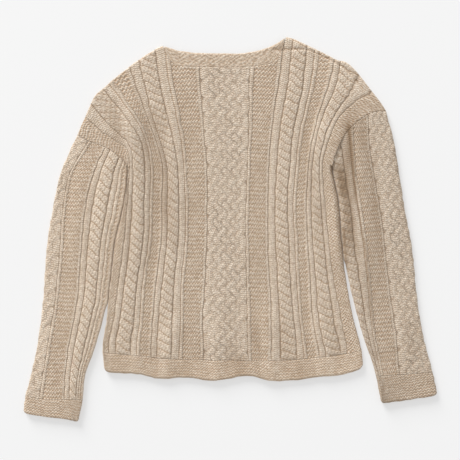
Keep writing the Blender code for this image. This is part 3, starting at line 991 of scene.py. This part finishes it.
@dataclass
class Body:
    """Both panels of the body, with their hem and neck bands."""

    step: float = STEP
    front_step: float = 2.6     # spacing of the hidden front panel's points
    row_step: float = 1.04      # spacing of a panel's rows, in spacings of its columns
    lip: float = 0.55           # share of the wall that stands at a free edge
    square: int = 14            # how square the corners of the back neckline are
    band_square: int = 6        # how square those of its band's free edge are
    scoop_under: float = 2.0    # how far the front neck band stays under the back one's edge
    pieces: list[bpy.types.Object] = field(default_factory=list)

    def back_neckline(self, across: Array) -> Array:
        """Height of the back panel's top edge at each column."""
        share = np.clip(np.abs(across) / NECK_HALF, 0.0, 1.0) ** self.square
        return SHOULDER - BACK_DROP * (1.0 - share)

    def back_band_edge(self, across: Array) -> Array:
        """Height of the back neck band's free edge at each column."""
        share = np.clip(np.abs(across) / NECK_HALF, 0.0, 1.0) ** self.band_square
        return SHOULDER - (BACK_DROP - BACK_BAND) * (1.0 - share)

    def front_neckline(self, across: Array) -> Array:
        """Height of the front panel's top edge at each column, a scoop."""
        share = np.clip(np.abs(across) / NECK_HALF, 0.0, 1.0)
        return SHOULDER - FRONT_DROP * np.sqrt(1.0 - share**2)

    def edge_distance(self, across: Array, height: Array, top: Array) -> Array:
        """Distance from the nearest folded edge, at the sides or the shoulders.

        Args:
            across: across coordinate of each point.
            height: height coordinate of each point.
            top: height of the shoulder edge at each column.

        Returns:
            The distance of each point.
        """
        side = np.where(height < UNDERARM, SIDE - np.abs(across), FAR)
        shoulder = np.where(np.abs(across) >= NECK_HALF, top - height, FAR)
        return np.minimum(side, shoulder)

    def relief(self, made: Surface, place: Array, across: Array, height: Array,
               seam: Array) -> Array:
        """Relief of a piece with all that evens it out or ruffles it.

        Args:
            made: the relief of its stitch columns.
            place: surface place of each point.
            across: across coordinate of each point.
            height: height coordinate of each point.
            seam: distance of each point from the nearest seam with a band.

        Returns:
            The height at each point.
        """
        relief = dying_out(made.height, seam)
        calm = np.clip(fold_lift(place, CALMS), 0.0, CALM_MOST)
        relief = BAND_RELIEF + (1.0 - calm) * (relief - BAND_RELIEF)
        return np.maximum(relief + BODY_UNEVEN.height.at(across, height), RELIEF_FLOOR)

    def shell(self, name: str, layer: Layer, columns: Columns, across: Array, height: Array,
              top: Array, lip: Optional[Array] = None) -> bpy.types.Object:
        """One piece of the body.

        Args:
            name: the piece's name.
            layer: the layer that it lies in.
            columns: its stitch columns.
            across: across coordinate of each column of its grid.
            height: height coordinate of each point of its grid.
            top: height of the shoulder edge at each column.
            lip: distance of each point from the free edge, where there is one.

        Returns:
            The piece.
        """
        across = np.broadcast_to(across, height.shape)
        place = BODY_LIE.place(across, height)
        guides, waves = np.array(HEM_WAVE).T
        place[..., 1] += smooth_step(-height / HEM_DEPTH) * smooth_curve(guides, waves, across)
        along = climb(place) + np.minimum(height[0], 0.0)
        strayed = np.clip(across + BODY_UNEVEN.aside(across, height), across[0, 0], across[0, -1])
        made = columns.surface(strayed, along + BODY_UNEVEN.along(across, height))
        seam = np.where(np.abs(across) < NECK_HALF, np.minimum(height, top - height), height)
        seam = np.abs(seam) if lip is None else np.full(height.shape, FAR)
        relief = self.relief(made, place, across, height, seam)
        edge = self.edge_distance(across, height, top)
        stand = rounded(edge)
        if lip is not None:
            stand = stand * lipped(lip, self.lip)
        if layer is Layer.BACK:
            relief = relief - crease_depth(place, SHOULDER_SEAM)
            lift = fold_lift(place, BODY_FOLDS) + BODY_BILLOW.at(across, height)
            lift = np.maximum(lift * smooth_step(edge / LIFT_FADE), 0.0)
            inside = MIDDLE + LAYER_GAP / 2 + lift
            outside = inside + np.maximum(GROUND + relief, THINNEST) * stand
        else:
            lift = np.zeros(height.shape)
            inside = np.full(height.shape, MIDDLE - LAYER_GAP / 2)
            outside = (inside - pressed(relief)) * (1.0 - stand) + pressed(relief)
        picked = np.ix_(thinned(height.shape[0]), thinned(height.shape[1]))
        piece = Shell(name, with_depth(place, outside), with_depth(place, inside)[picked],
                      knit_values(made), form_values(relief, lift, place)).build()
        self.pieces.append(piece)
        return piece

    def panel(self, name: str, layer: Layer, step: float) -> bpy.types.Object:
        """The back or the front panel.

        Args:
            name: the piece's name.
            layer: which panel it is.
            step: spacing of its points.

        Returns:
            The piece.
        """
        across = BODY_COLUMNS.samples(step, FOLD_STEPS)
        across = np.sort(np.concatenate([across, [-NECK_HALF, NECK_HALF]]))
        top = self.back_neckline(across) if layer is Layer.BACK else self.front_neckline(across)
        height = rows_between(np.zeros_like(across), top, step * self.row_step)
        return self.shell(name, layer, BODY_COLUMNS, across, height, top)

    def hem_band(self, name: str, layer: Layer) -> bpy.types.Object:
        """The garter band along one hem.

        Args:
            name: the piece's name.
            layer: the layer that it lies in.

        Returns:
            The piece.
        """
        across = BAND_COLUMNS.samples(self.step, FOLD_STEPS)
        bottom = corner_cut(SIDE - np.abs(across)) - HEM_DEPTH
        height = rows_between(bottom, np.full_like(across, -SEAM_GAP), BAND_STEP)
        far = np.full_like(across, FAR)
        return self.shell(name, layer, BAND_COLUMNS, across, height, far, lip=height - bottom)

    def neck_band(self) -> bpy.types.Object:
        """The moss stitch band along the back neckline.

        Returns:
            The piece.
        """
        across = COLLAR_COLUMNS.samples(self.step)
        bottom, top = self.back_neckline(across) + SEAM_GAP, self.back_band_edge(across)
        height = rows_between(bottom, top, COLLAR_STEP)
        far = np.full_like(across, FAR)
        return self.shell("back_neck_band", Layer.BACK, COLLAR_COLUMNS, across, height, far,
                          lip=top - height)

    def scoop_band(self) -> bpy.types.Object:
        """The band around the lower neckline of the front.

        Returns:
            The piece.
        """
        columns, rows = 121, 15
        turn = np.linspace(np.pi, 0.0, columns)
        share = np.linspace(0.0, 1.0, rows)[:, None]
        inset = BAND_INSET + share * (FRONT_BAND - BAND_INSET)
        across = (NECK_HALF - inset) * np.cos(turn)
        height = SHOULDER - (FRONT_DROP - inset) * np.sin(turn)
        height = np.minimum(height, self.back_band_edge(across) - self.scoop_under)
        return self.shell("front_neck_band", Layer.FRONT, COLLAR_COLUMNS, across, height,
                          np.full(columns, FAR), lip=FRONT_BAND - inset + 0.0 * across)

    def build(self) -> None:
        """Make all six pieces."""
        back = self.panel("back", Layer.BACK, self.step)
        front = self.panel("front", Layer.FRONT, self.front_step)
        back_hem = self.hem_band("back_hem_band", Layer.BACK)
        front_hem = self.hem_band("front_hem_band", Layer.FRONT)
        back_neck = self.neck_band()
        front_neck = self.scoop_band()
        for piece, node in ((back, "back_panel"), (front, "front_panel"),
                            (back_hem, "hem_band_back"), (front_hem, "hem_band_front"),
                            (back_neck, "neck_band_back"), (front_neck, "neck_band_front")):
            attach(piece, "root")
            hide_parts(node)

    def dress(self, panel: bpy.types.Material, band: bpy.types.Material,
              collar: bpy.types.Material) -> None:
        """Give the pieces their finishes.

        Args:
            panel: the finish of the two panels.
            band: the finish of the hem bands.
            collar: the finish of the neck bands.
        """
        for piece in self.pieces:
            finish = collar if "neck" in piece.name else band if "band" in piece.name else panel
            piece.data.materials.append(finish)
            report(piece)


class Arm(Enum):
    """The two sides of the body, as it lies back upwards."""

    LEFT = "left"
    RIGHT = "right"

    def outward(self) -> float:
        """Sign of x away from the body."""
        return 1.0 if self is Arm.RIGHT else -1.0


@dataclass
class Sleeve:
    """One sleeve and its cuff, each a flattened tube."""

    arm: Arm
    lie: Lie
    upper: tuple[Column, ...]
    lower: tuple[Column, ...]
    flat: Pair              # girth and length of the sleeve's cut, in metres
    flat_area: float        # area of that cut, in square metres
    cuff_flat: Pair         # girth and depth of the cuff's cut, in metres
    wall: float = 3.9       # thickness of one layer
    hollow: float = 0.3     # half height of the space inside
    sunk: float = 1.7       # how far the upper layer's grooves lie below its full thickness
    lip: float = 0.62       # share of the wall that stands at the free edge
    seam_gap: float = 0.35  # between the sleeve and the armhole
    side_gap: float = 0.20  # between the sleeve and the side of the body
    drawn: float = 1.6      # largest gap over which the sleeve is drawn to the body's side
    released: float = 1.4   # further gap over which that dies out
    head_fade: float = 70.0     # distance over which the sleeve's head fits the armhole
    pieces: list[bpy.types.Object] = field(default_factory=list)

    def armhole(self, head: Array) -> Array:
        """Places just outside the body's armhole edge.

        Args:
            head: the sleeve's own first row, from shoulder to underarm.

        Returns:
            A place on the armhole for each place of the row, at the same share of the way.
        """
        outward = self.arm.outward()
        height = np.linspace(SHOULDER, UNDERARM, ARMHOLE_POINTS)
        place = BODY_LIE.place(np.full_like(height, outward * SIDE), height)
        run = np.gradient(place, axis=0)
        normal = np.stack([-run[:, 1], run[:, 0]], axis=-1)
        normal /= np.linalg.norm(normal, axis=-1, keepdims=True)
        place = place + normal * outward * self.seam_gap
        way = climb(place[:, None, :])[:, 0]
        own = climb(head[:, None, :])[:, 0]
        at = own / own[-1] * way[-1]
        return np.stack([np.interp(at, way, place[:, axis]) for axis in (0, 1)], axis=-1)

    def beside(self, place: Array, share: Array) -> Array:
        """Move that draws the sleeve's inner edge close to the body's, where they are near.

        Args:
            place: surface place of each point of the sleeve's grid.
            share: across coordinate of each point as a share of the width.

        Returns:
            The move of each point, which dies out towards the outer fold.
        """
        outward = self.arm.outward()
        height = np.linspace(UNDERARM, 0.0, EDGE_POINTS)
        edge = BODY_LIE.place(np.full_like(height, outward * SIDE), height)
        target = np.interp(-place[:, -1, 1], -edge[:, 1], edge[:, 0]) + outward * self.side_gap
        gap = (place[:, -1, 0] - target) * outward
        near = 1.0 - smooth_step((np.abs(gap) - self.drawn) / self.released)
        move = np.zeros(place.shape)
        move[..., 0] = -(near * gap * outward)[:, None] * share**3
        return move

    def loop_positions(self, upper: Columns) -> Array:
        """Across positions of the upper layer, so that a loop divides into inner steps.

        Args:
            upper: stitch columns of the upper layer.

        Returns:
            The positions in rising order.
        """
        across = upper.samples(STEP, FOLD_STEPS)
        spare = (-(2 * len(across) - 2)) % (2 * INNER_STRIDE)
        widest = np.argsort(-np.diff(across))[:spare // 2]
        return np.sort(np.concatenate([across, (across[widest] + across[widest + 1]) / 2]))

    def tube(self, name: str, start: float, end: float, upper: Columns, lower: Columns,
             step: float, free_end: bool) -> bpy.types.Object:
        """A flattened tube between two distances down the sleeve.

        Args:
            name: the piece's name.
            start: distance of its upper end from the armhole.
            end: distance of its lower end from the armhole.
            upper: stitch columns of the layer that faces up.
            lower: stitch columns of the layer below.
            step: spacing of its rows.
            free_end: whether its lower end is a free edge.

        Returns:
            The piece.
        """
        width = self.lie.guides[-1]
        across = self.loop_positions(upper)
        share = across / width
        cut = corner_cut(np.minimum(across, width - across)) if free_end else 0.0 * across
        rows = np.linspace(0.0, 1.0, int(np.ceil((end - start) / step)) + 1)[:, None]
        wide, long = np.broadcast_arrays(across, start + rows * (end - cut - start))
        place = self.lie.place(wide, long)
        inner_move = np.zeros(place.shape)
        if start < 1.0:
            near = np.clip(1.0 - long / self.head_fade, 0.0, 1.0)[..., None] ** 2
            fitted = near * (self.armhole(place[0]) - place[0])
            place = place + fitted
            place = place + self.beside(place, share)
            # The inner skin takes only what is left of the gap
            inner_move = fitted + self.beside(place, share)
        span = np.linalg.norm(place[:, -1] - place[:, 0], axis=-1)[:, None]
        edge = np.minimum(share, 1.0 - share) * span
        stand = rounded(edge, 0.0)
        if free_end:
            stand = stand * lipped(end - cut - long, self.lip)
            seam = np.full(long.shape, FAR)
        else:
            seam = np.abs(self.lie.stations[-2] - long)
        rise = climb(place[::-1])[::-1] + cut + SLEEVE_UNEVEN.along(wide, long)
        strayed = np.clip(wide + SLEEVE_UNEVEN.aside(wide, long), 0.0, width)
        over_made, under_made = upper.surface(strayed, rise), lower.surface(wide, rise)
        over_relief = dying_out(over_made.height, seam) + SLEEVE_UNEVEN.height.at(wide, long)
        under_relief = dying_out(under_made.height, seam)
        lift = np.maximum(fold_lift(place, SLEEVE_FOLDS) * smooth_step(edge / LIFT_FADE), 0.0)
        half = self.wall + self.hollow
        over = half + (half - self.sunk + over_relief) * stand + lift
        under = half - half * stand + pressed(under_relief) * rounded(edge, 0.0)
        inner_across = (self.wall + share * (span - 2 * self.wall)) / span * width
        inner_place = self.lie.place(inner_across, long) + inner_move
        gap = self.hollow * np.clip(edge / FOLD_RADIUS, 0.0, 1.0)
        outer = self.around(with_depth(place, over), with_depth(place, under))
        inner = self.around(with_depth(inner_place, half + gap + lift),
                            with_depth(inner_place, half - gap))
        knit = self.around(knit_values(over_made), knit_values(under_made))
        form = self.around(form_values(over_relief, lift, place),
                           form_values(under_relief, 0.0 * lift, place))
        picked = np.ix_(thinned(outer.shape[0]), range(0, outer.shape[1], INNER_STRIDE))
        piece = Shell(name, outer, inner[picked], knit, form, ring=True).build()
        self.pieces.append(piece)
        return piece

    def around(self, over: Array, under: Array) -> Array:
        """One loop per row: the upper layer across, then the lower layer back."""
        return np.concatenate([over, under[:, -2:0:-1]], axis=1)

    def build(self) -> None:
        """Make the sleeve and its cuff."""
        side, turned = self.arm.value, self.arm is Arm.RIGHT
        seam, edge = self.lie.stations[-2], self.lie.stations[-1]
        garter = Columns(0.0, (Column(Knit.GARTER, self.lie.guides[-1]),), grooved=False)
        sleeve = self.tube(f"{side}_sleeve", 0.0, seam - SEAM_GAP,
                           Columns(0.0, self.upper, turned=turned),
                           Columns(0.0, self.lower, turned=not turned), STEP, free_end=False)
        cuff = self.tube(f"{side}_cuff", seam, edge, garter, garter, BAND_STEP, free_end=True)
        for piece, node in ((sleeve, f"sleeve_{side}"), (cuff, f"cuff_{side}")):
            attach(piece, "root")
            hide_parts(node)

    def dress(self, sleeve: bpy.types.Material, band: bpy.types.Material) -> None:
        """Give the pieces their finishes.

        Args:
            sleeve: the finish of the sleeve.
            band: the finish of the cuff.
        """
        for piece in self.pieces:
            is_cuff = piece.name.endswith("cuff")
            piece.data.materials.append(band if is_cuff else sleeve)
            report(piece)


def left_sleeve() -> Sleeve:
    """The sleeve on the left of the body.

    Returns:
        The sleeve, not yet built.
    """
    upper = (Column(Knit.PLAIT, 21.0, 72.0, 51.0), Column(Knit.LADDER, 38.0),
             Column(Knit.RIB, 11.0), Column(Knit.ROPE, 21.0), Column(Knit.RIB, 9.0),
             Column(Knit.LADDER, 14.0))
    lower = (Column(Knit.PLAIT, 51.0, 72.0, 21.0), Column(Knit.LADDER, 39.0),
             Column(Knit.RIB, 10.0), Column(Knit.SEED, 14.0))
    return Sleeve(Arm.LEFT, LEFT_LIE, upper, lower, (0.248, 0.475), 0.1002, (0.200, 0.0345))


def right_sleeve() -> Sleeve:
    """The sleeve on the right of the body.

    Returns:
        The sleeve, not yet built.
    """
    upper = (Column(Knit.PLAIT, 48.0, 72.0, 24.0), Column(Knit.LADDER, 39.0),
             Column(Knit.RIB, 12.0), Column(Knit.ROPE, 15.0, 21.0))
    lower = (Column(Knit.PLAIT, 24.0, 72.0, 48.0), Column(Knit.LADDER, 38.0),
             Column(Knit.RIB, 11.0), Column(Knit.ROPE, 21.0), Column(Knit.RIB, 9.0),
             Column(Knit.SEED, 11.0))
    return Sleeve(Arm.RIGHT, RIGHT_LIE, upper, lower, (0.246, 0.479), 0.1011, (0.202, 0.046))


def report(piece: bpy.types.Object) -> None:
    """Log a finished piece and its size."""
    piece.data.calc_loop_triangles()
    LOG.info("%s: %d triangles", piece.name, len(piece.data.loop_triangles))


Operand = Union["Signal", float]
Colour = Triple
Paint = Union[bpy.types.NodeSocket, tuple[float, float, float, float]]


@dataclass(frozen=True)
class Signal:
    """A shader socket that carries a number, with arithmetic as Math nodes."""

    board: "Board"
    socket: bpy.types.NodeSocket

    def math(self, operation: str, *others: Operand, clamp: bool = False) -> "Signal":
        """Add a Math node on this value.

        Args:
            operation: the node's operation.
            others: its further inputs.
            clamp: whether the result is held between 0 and 1.

        Returns:
            The result.
        """
        inputs = dict(enumerate((self, *others)))
        node = self.board.node("ShaderNodeMath", {"operation": operation, "use_clamp": clamp}, inputs)
        return Signal(self.board, node.outputs[0])

    def __add__(self, other: Operand) -> "Signal":
        """Sum."""
        return self.math("ADD", other)

    def __radd__(self, other: Operand) -> "Signal":
        """Sum, with the number first."""
        return self.math("ADD", other)

    def __sub__(self, other: Operand) -> "Signal":
        """Difference."""
        return self.math("SUBTRACT", other)

    def __rsub__(self, other: float) -> "Signal":
        """Difference, with the number first."""
        node = self.board.node("ShaderNodeMath", {"operation": "SUBTRACT"}, {0: other, 1: self})
        return Signal(self.board, node.outputs[0])

    def __mul__(self, other: Operand) -> "Signal":
        """Product."""
        return self.math("MULTIPLY", other)

    def __rmul__(self, other: Operand) -> "Signal":
        """Product, with the number first."""
        return self.math("MULTIPLY", other)

    def __pow__(self, other: float) -> "Signal":
        """Power."""
        return self.math("POWER", other)

    def __abs__(self) -> "Signal":
        """Absolute value."""
        return self.math("ABSOLUTE")

    def fraction(self) -> "Signal":
        """Fractional part."""
        return self.math("FRACT")

    def cosine(self) -> "Signal":
        """Cosine."""
        return self.math("COSINE")

    def clamped(self) -> "Signal":
        """The value held between 0 and 1."""
        return self.math("ADD", 0.0, clamp=True)

    def step(self, low: float, high: float) -> "Signal":
        """Add a smooth step on this value.

        Args:
            low: value up to which the step is 0.
            high: value from which it is 1.

        Returns:
            The step.
        """
        node = self.board.node(
            "ShaderNodeMapRange", {"interpolation_type": "SMOOTHSTEP"},
            {"Value": self, "From Min": low, "From Max": high, "To Min": 0.0, "To Max": 1.0})
        return Signal(self.board, node.outputs[0])


@dataclass(frozen=True)
class Board:
    """A material's node tree, with one method that adds any node."""

    tree: bpy.types.NodeTree

    def node(self, kind: str, settings: dict, inputs: dict) -> bpy.types.Node:
        """Add a node.

        Args:
            kind: the node's type.
            settings: its properties, which are set first.
            inputs: values, signals or sockets for its inputs, by name or number.

        Returns:
            The node.
        """
        node = self.tree.nodes.new(kind)
        for name, value in settings.items():
            setattr(node, name, value)
        for key, value in inputs.items():
            socket = node.inputs[key]
            if isinstance(value, Signal):
                value = value.socket
            if isinstance(value, bpy.types.NodeSocket):
                self.tree.links.new(value, socket)
            else:
                socket.default_value = value
        return node

    def place(self) -> bpy.types.NodeSocket:
        """The place on the object, in metres."""
        return self.node("ShaderNodeTexCoord", {}, {}).outputs["Object"]

    def parts(self, attribute: str) -> tuple[Signal, Signal, Signal]:
        """Read a vector attribute.

        Args:
            attribute: its name.

        Returns:
            Its three numbers.
        """
        read = self.node("ShaderNodeAttribute", {"attribute_name": attribute}, {})
        split = self.node("ShaderNodeSeparateXYZ", {}, {0: read.outputs["Vector"]})
        return tuple(Signal(self, split.outputs[k]) for k in range(3))

    def noise(self, scale: float, detail: float, where: bpy.types.NodeSocket) -> Signal:
        """Noise between about 0 and 1."""
        node = self.node("ShaderNodeTexNoise", {}, {"Vector": where, "Scale": scale, "Detail": detail})
        return Signal(self, node.outputs[0])

    def cells(self, scale: float, where: bpy.types.NodeSocket) -> bpy.types.Node:
        """Small cells of the cloth."""
        return self.node("ShaderNodeTexVoronoi", {"feature": "F1"}, {"Vector": where, "Scale": scale})

    def fleck(self, scale: float, where: bpy.types.NodeSocket) -> Signal:
        """A random number between 0 and 1 for each small cell of the cloth."""
        colour = self.cells(scale, where).outputs["Color"]
        return Signal(self, self.node("ShaderNodeSeparateColor", {}, {0: colour}).outputs[0])

    def mix(self, share: Operand, first: Paint, second: Paint,
            blend: str = "MIX") -> bpy.types.NodeSocket:
        """Mix two colours.

        Args:
            share: share of the second colour.
            first: the first colour, as a value or a socket.
            second: the second colour, as a value or a socket.
            blend: how they mix.

        Returns:
            The mixed colour.
        """
        node = self.node("ShaderNodeMix", {"data_type": "RGBA", "blend_type": blend},
                         {0: share, 6: first, 7: second})
        return node.outputs[2]

    def layered(self, ground: Colour,
                layers: Sequence[tuple[Signal, float, Colour]]) -> bpy.types.NodeSocket:
        """Lay colours over a ground colour, one after another.

        Args:
            ground: the colour underneath.
            layers: where each colour shows, how strongly, and the colour.

        Returns:
            The colour on top.
        """
        colour = rgba(ground)
        for where, strength, tint in layers:
            colour = self.mix(where * strength, colour, rgba(tint))
        return colour


def rgba(colour: Colour) -> tuple[float, float, float, float]:
    """A colour with full alpha."""
    return (*colour, 1.0)


@dataclass(frozen=True)
class Stitches:
    """Shapes of the single stitches, for the bump, the shade painted between them and the highlight
    painted on them.
    """

    row_stray: Pair = (0.40, 230.0)     # how far rows stray, and the scale of that
    stitch_stray: Pair = (0.30, 260.0)  # how far stitches stray, and the scale of that
    leg_floor: float = 0.28     # height between the two legs of a knit stitch
    leg_rise: float = 0.8       # height of a leg over that
    leg_lean: float = 1.1       # rise of a leg over a stitch, in rows
    leg_pinch: float = 0.55     # how much thinner a leg is at its sides
    ridge_floor: float = 0.15   # height between garter ridges
    ridge_rise: float = 0.74    # height of a ridge over that
    ridge_swing: float = 1.55   # swing of a ridge between its stitches, in radians
    ridge_loops: float = 0.20   # height of the single loops on a ridge
    bump_middle: float = 0.50   # mean height of seed stitch
    bump_rise: float = 0.49     # height of its bumps
    bump_quiet: float = 0.36    # how much lower they are in moss stitch, at most

    def height(self, board: Board) -> Signal:
        """Height of the stitches, between 0 and 1.

        Args:
            board: the material's board.

        Returns:
            The height, from the knit attribute of the piece.
        """
        stitch, row, purl = board.parts("knit")
        where = board.place()
        row = row + self.row_stray[0] * board.noise(self.row_stray[1], 1.0, where)
        stitch = stitch + self.stitch_stray[0] * board.noise(self.stitch_stray[1], 1.0, where)
        turn = stitch * (2.0 * np.pi)
        aside = abs(stitch.fraction() - 0.5)
        leg = abs((row - self.leg_lean * aside).fraction() - 0.5) * 2.0
        pinched = 1.0 - self.leg_pinch * (4.0 * aside - 1.0) ** 2.0
        knit = self.leg_floor + self.leg_rise * (1.0 - leg * leg) * pinched
        wave = 0.5 + 0.5 * ((row * np.pi) + self.ridge_swing * turn.cosine()).cosine()
        loops = turn.cosine() * (row * (2.0 * np.pi)).cosine()
        ridge = self.ridge_floor + self.ridge_rise * wave + self.ridge_loops * loops
        loud = self.bump_rise - self.bump_quiet * (purl - 2.0).clamped()
        seed = self.bump_middle + loud * (stitch * np.pi).cosine() * (row * np.pi).cosine()
        ridged = 1.0 - abs(purl - 1.0).clamped()
        return knit * (1.0 - purl).clamped() + ridge * ridged + seed * (purl - 1.0).clamped()


@dataclass(frozen=True)
class Wool:
    """Heathered oatmeal wool, knitted."""

    name: str
    tone_and_painted_shade: float             # how light the piece comes out, partly painted shade: the right sleeve and cuff darker than the left
    yarn: Colour = (0.685, 0.550, 0.415)
    # pale: the colour of pale flecks, of the painted highlights and of the sheen's tint
    pale: Colour = (0.950, 0.845, 0.715)
    tan: Colour = (0.400, 0.280, 0.180)
    pink: Colour = (0.560, 0.370, 0.290)
    # groove: the colour of the painted shade between stitches, in grooves and along strand edges
    groove: Colour = (0.400, 0.245, 0.135)
    # shade: the colour of the painted shade in hollows
    shade: Colour = (0.290, 0.185, 0.105)
    speck: Colour = (0.070, 0.045, 0.035)
    coarse_flecks: float = 400.0    # scales, in cells for each metre
    fine_flecks: float = 760.0
    tint_flecks: float = 330.0
    dash_scale: float = 330.0
    cloud_scale: float = 14.0
    speck_scale: float = 11.0
    fibre_scale: float = 1100.0
    fuzz_scale: float = 2300.0
    bump: float = 0.9
    roughness: float = 0.92
    specular: float = 0.25
    sheen: float = 0.25
    sheen_roughness: float = 0.5

    def colour(self, board: Board, stitches: Signal) -> bpy.types.NodeSocket:
        """Colour of the yarn, with its flecks and a few dark specks, painted shade between its stitches,
        in its grooves, along its strands' edges and in hollows, and painted highlights on its stitches
        and crests.

        Args:
            board: the material's board.
            stitches: height of the single stitches.

        Returns:
            The colour.
        """
        where = board.place()
        cavity, crest, hollow = board.parts("form")
        stitch, _, purl = board.parts("knit")
        coarse = board.fleck(self.coarse_flecks, where)
        fine = board.fleck(self.fine_flecks, where)
        tint = board.fleck(self.tint_flecks, where)
        cloud = board.noise(self.cloud_scale, 2.0, where)
        brink = abs((stitch * 0.5).fraction() - 0.5).step(0.40, 0.5) * (1.0 - purl).clamped()
        dashes = 0.25 + 1.2 * board.noise(self.dash_scale, 1.0, where)
        near = Signal(board, board.cells(self.speck_scale, where).outputs["Distance"])
        # Where each colour shows, how strongly, and the colour
        colour = board.layered(self.yarn, (
            (coarse.step(0.45, 1.0), 0.55, self.pale),
            ((1.0 - coarse).step(0.50, 1.0), 0.45, self.tan),
            (tint.step(0.80, 0.95), 0.32, self.pink),
            (fine.step(0.60, 1.0), 0.35, self.pale),
            ((1.0 - fine).step(0.65, 1.0), 0.35, self.tan),
            # painted shade between the single stitches
            ((1.0 - stitches).step(0.40, 1.0), 0.75, self.groove),
            # painted highlight on the tops of the single stitches
            (stitches.step(0.60, 1.0), 0.35, self.pale),
            # painted highlight on the crests of the relief
            (crest, 0.12, self.pale),
            # painted shade along the edges of the strands
            (brink, 0.60, self.groove),
            # painted shade in the grooves, broken into dashes
            ((cavity * dashes * 0.75).clamped(), 1.0, self.groove),
            # painted shade in troughs between folds and in the patches of HOLLOWS
            (hollow, 0.85, self.shade),
            (cloud.step(0.25, 0.75), 0.10, self.tan),
            (1.0 - near.step(0.010, 0.022), 0.75, self.speck)))
        # the piece's tone, which for the right sleeve and cuff is painted shade
        return board.mix(1.0, colour, rgba((self.tone_and_painted_shade,) * 3), "MULTIPLY")

    def material(self) -> bpy.types.Material:
        """Build the wool's nodes.

        Returns:
            The material.
        """
        material = bpy.data.materials.new(self.name)
        material.use_nodes = True
        tree = material.node_tree
        board = Board(tree)
        shader = tree.nodes["Principled BSDF"]
        stitches = Stitches().height(board)
        tree.links.new(self.colour(board, stitches), shader.inputs["Base Color"])
        where = board.place()
        fibre = board.noise(self.fibre_scale, 2.0, where)
        fuzz = board.noise(self.fuzz_scale, 3.0, where)
        height = stitches + fuzz * 0.22 + fibre * 0.25
        bump = board.node("ShaderNodeBump", {}, {"Strength": self.bump, "Distance": MM, "Height": height})
        tree.links.new(bump.outputs[0], shader.inputs["Normal"])
        for socket, value in (("Roughness", self.roughness), ("Specular IOR Level", self.specular),
                              ("Sheen Weight", self.sheen), ("Sheen Tint", rgba(self.pale)),
                              ("Sheen Roughness", self.sheen_roughness)):
            shader.inputs[socket].default_value = value
        return material


@dataclass(frozen=True)
class Studio:
    """A pale floor, soft lights and a camera straight above, in metres."""

    view_width: float = 0.8142
    view_middle: Pair = (-0.0009, -0.0004)
    lens: float = 85.0          # in millimetres, as is the sensor
    sensor: float = 36.0
    floor_size: float = 30.0
    floor_drop: float = 0.0003  # below the sweater's underside
    floor_tone: float = 0.45
    floor_glow: float = 0.457   # the floor glows, so that it is pale and its shadows soft
    key_place: Triple = (-8.2, 15.4, 6.3)
    key_size: float = 8.0
    key_power: float = 4016.0
    sky_strength: float = 0.62

    def floor(self) -> None:
        """The floor that the sweater lies on."""
        bpy.ops.object.select_all(action="DESELECT")
        bpy.ops.mesh.primitive_plane_add(size=self.floor_size, location=(0, 0, -self.floor_drop))
        floor = bpy.context.object
        floor.name = "floor"
        material = bpy.data.materials.new("pale_floor")
        material.use_nodes = True
        shader = material.node_tree.nodes["Principled BSDF"]
        for socket, value in (("Base Color", rgba((self.floor_tone,) * 3)), ("Roughness", 0.9),
                              ("Specular IOR Level", 0.1), ("Emission Color", rgba((1.0,) * 3)),
                              ("Emission Strength", self.floor_glow)):
            shader.inputs[socket].default_value = value
        floor.data.materials.append(material)

    def lights(self) -> None:
        """A square key light from the upper left that faces the sweater, and an even sky."""
        lamp = bpy.data.lights.new("key", "AREA")
        lamp.size = self.key_size
        lamp.energy = self.key_power
        item = bpy.data.objects.new("key", lamp)
        item.location = self.key_place
        item.rotation_euler = (-item.location).to_track_quat("-Z", "Y").to_euler()
        bpy.context.scene.collection.objects.link(item)
        world = bpy.data.worlds.new("even_sky")
        world.use_nodes = True
        sky = world.node_tree.nodes["Background"]
        sky.inputs["Color"].default_value = rgba((1.0,) * 3)
        sky.inputs["Strength"].default_value = self.sky_strength
        bpy.context.scene.world = world

    def camera(self) -> None:
        """The camera, straight above the middle."""
        data = bpy.data.cameras.new("camera")
        data.lens = self.lens
        data.sensor_width = self.sensor
        item = bpy.data.objects.new("camera", data)
        item.location = (*self.view_middle, self.view_width * self.lens / self.sensor)
        bpy.context.scene.collection.objects.link(item)
        bpy.context.scene.camera = item
        bpy.context.scene.view_settings.view_transform = "Standard"

    def build(self) -> None:
        """Make the floor, the lights and the camera."""
        self.floor()
        self.lights()
        self.camera()


def main() -> None:
    """Build and dress every piece in order."""
    logging.basicConfig(level=logging.INFO, format="%(name)s: %(message)s")
    body = Body()
    body.build()
    body.dress(Wool("panel_wool", 0.92).material(), Wool("band_wool", 1.03).material(),
               Wool("collar_wool", 0.89).material())
    # the right sleeve and cuff get a darker tone than the left as painted shade, the light falling from
    # the left
    for sleeve, tone_and_painted_shade in ((left_sleeve(), 0.98), (right_sleeve(), 0.87)):
        sleeve.build()
        side = sleeve.arm.value
        sleeve.dress(Wool(f"{side}_sleeve_wool", tone_and_painted_shade).material(),
                     Wool(f"{side}_cuff_wool", tone_and_painted_shade).material())
    Studio().build()


if __name__ == "__main__":
    main()
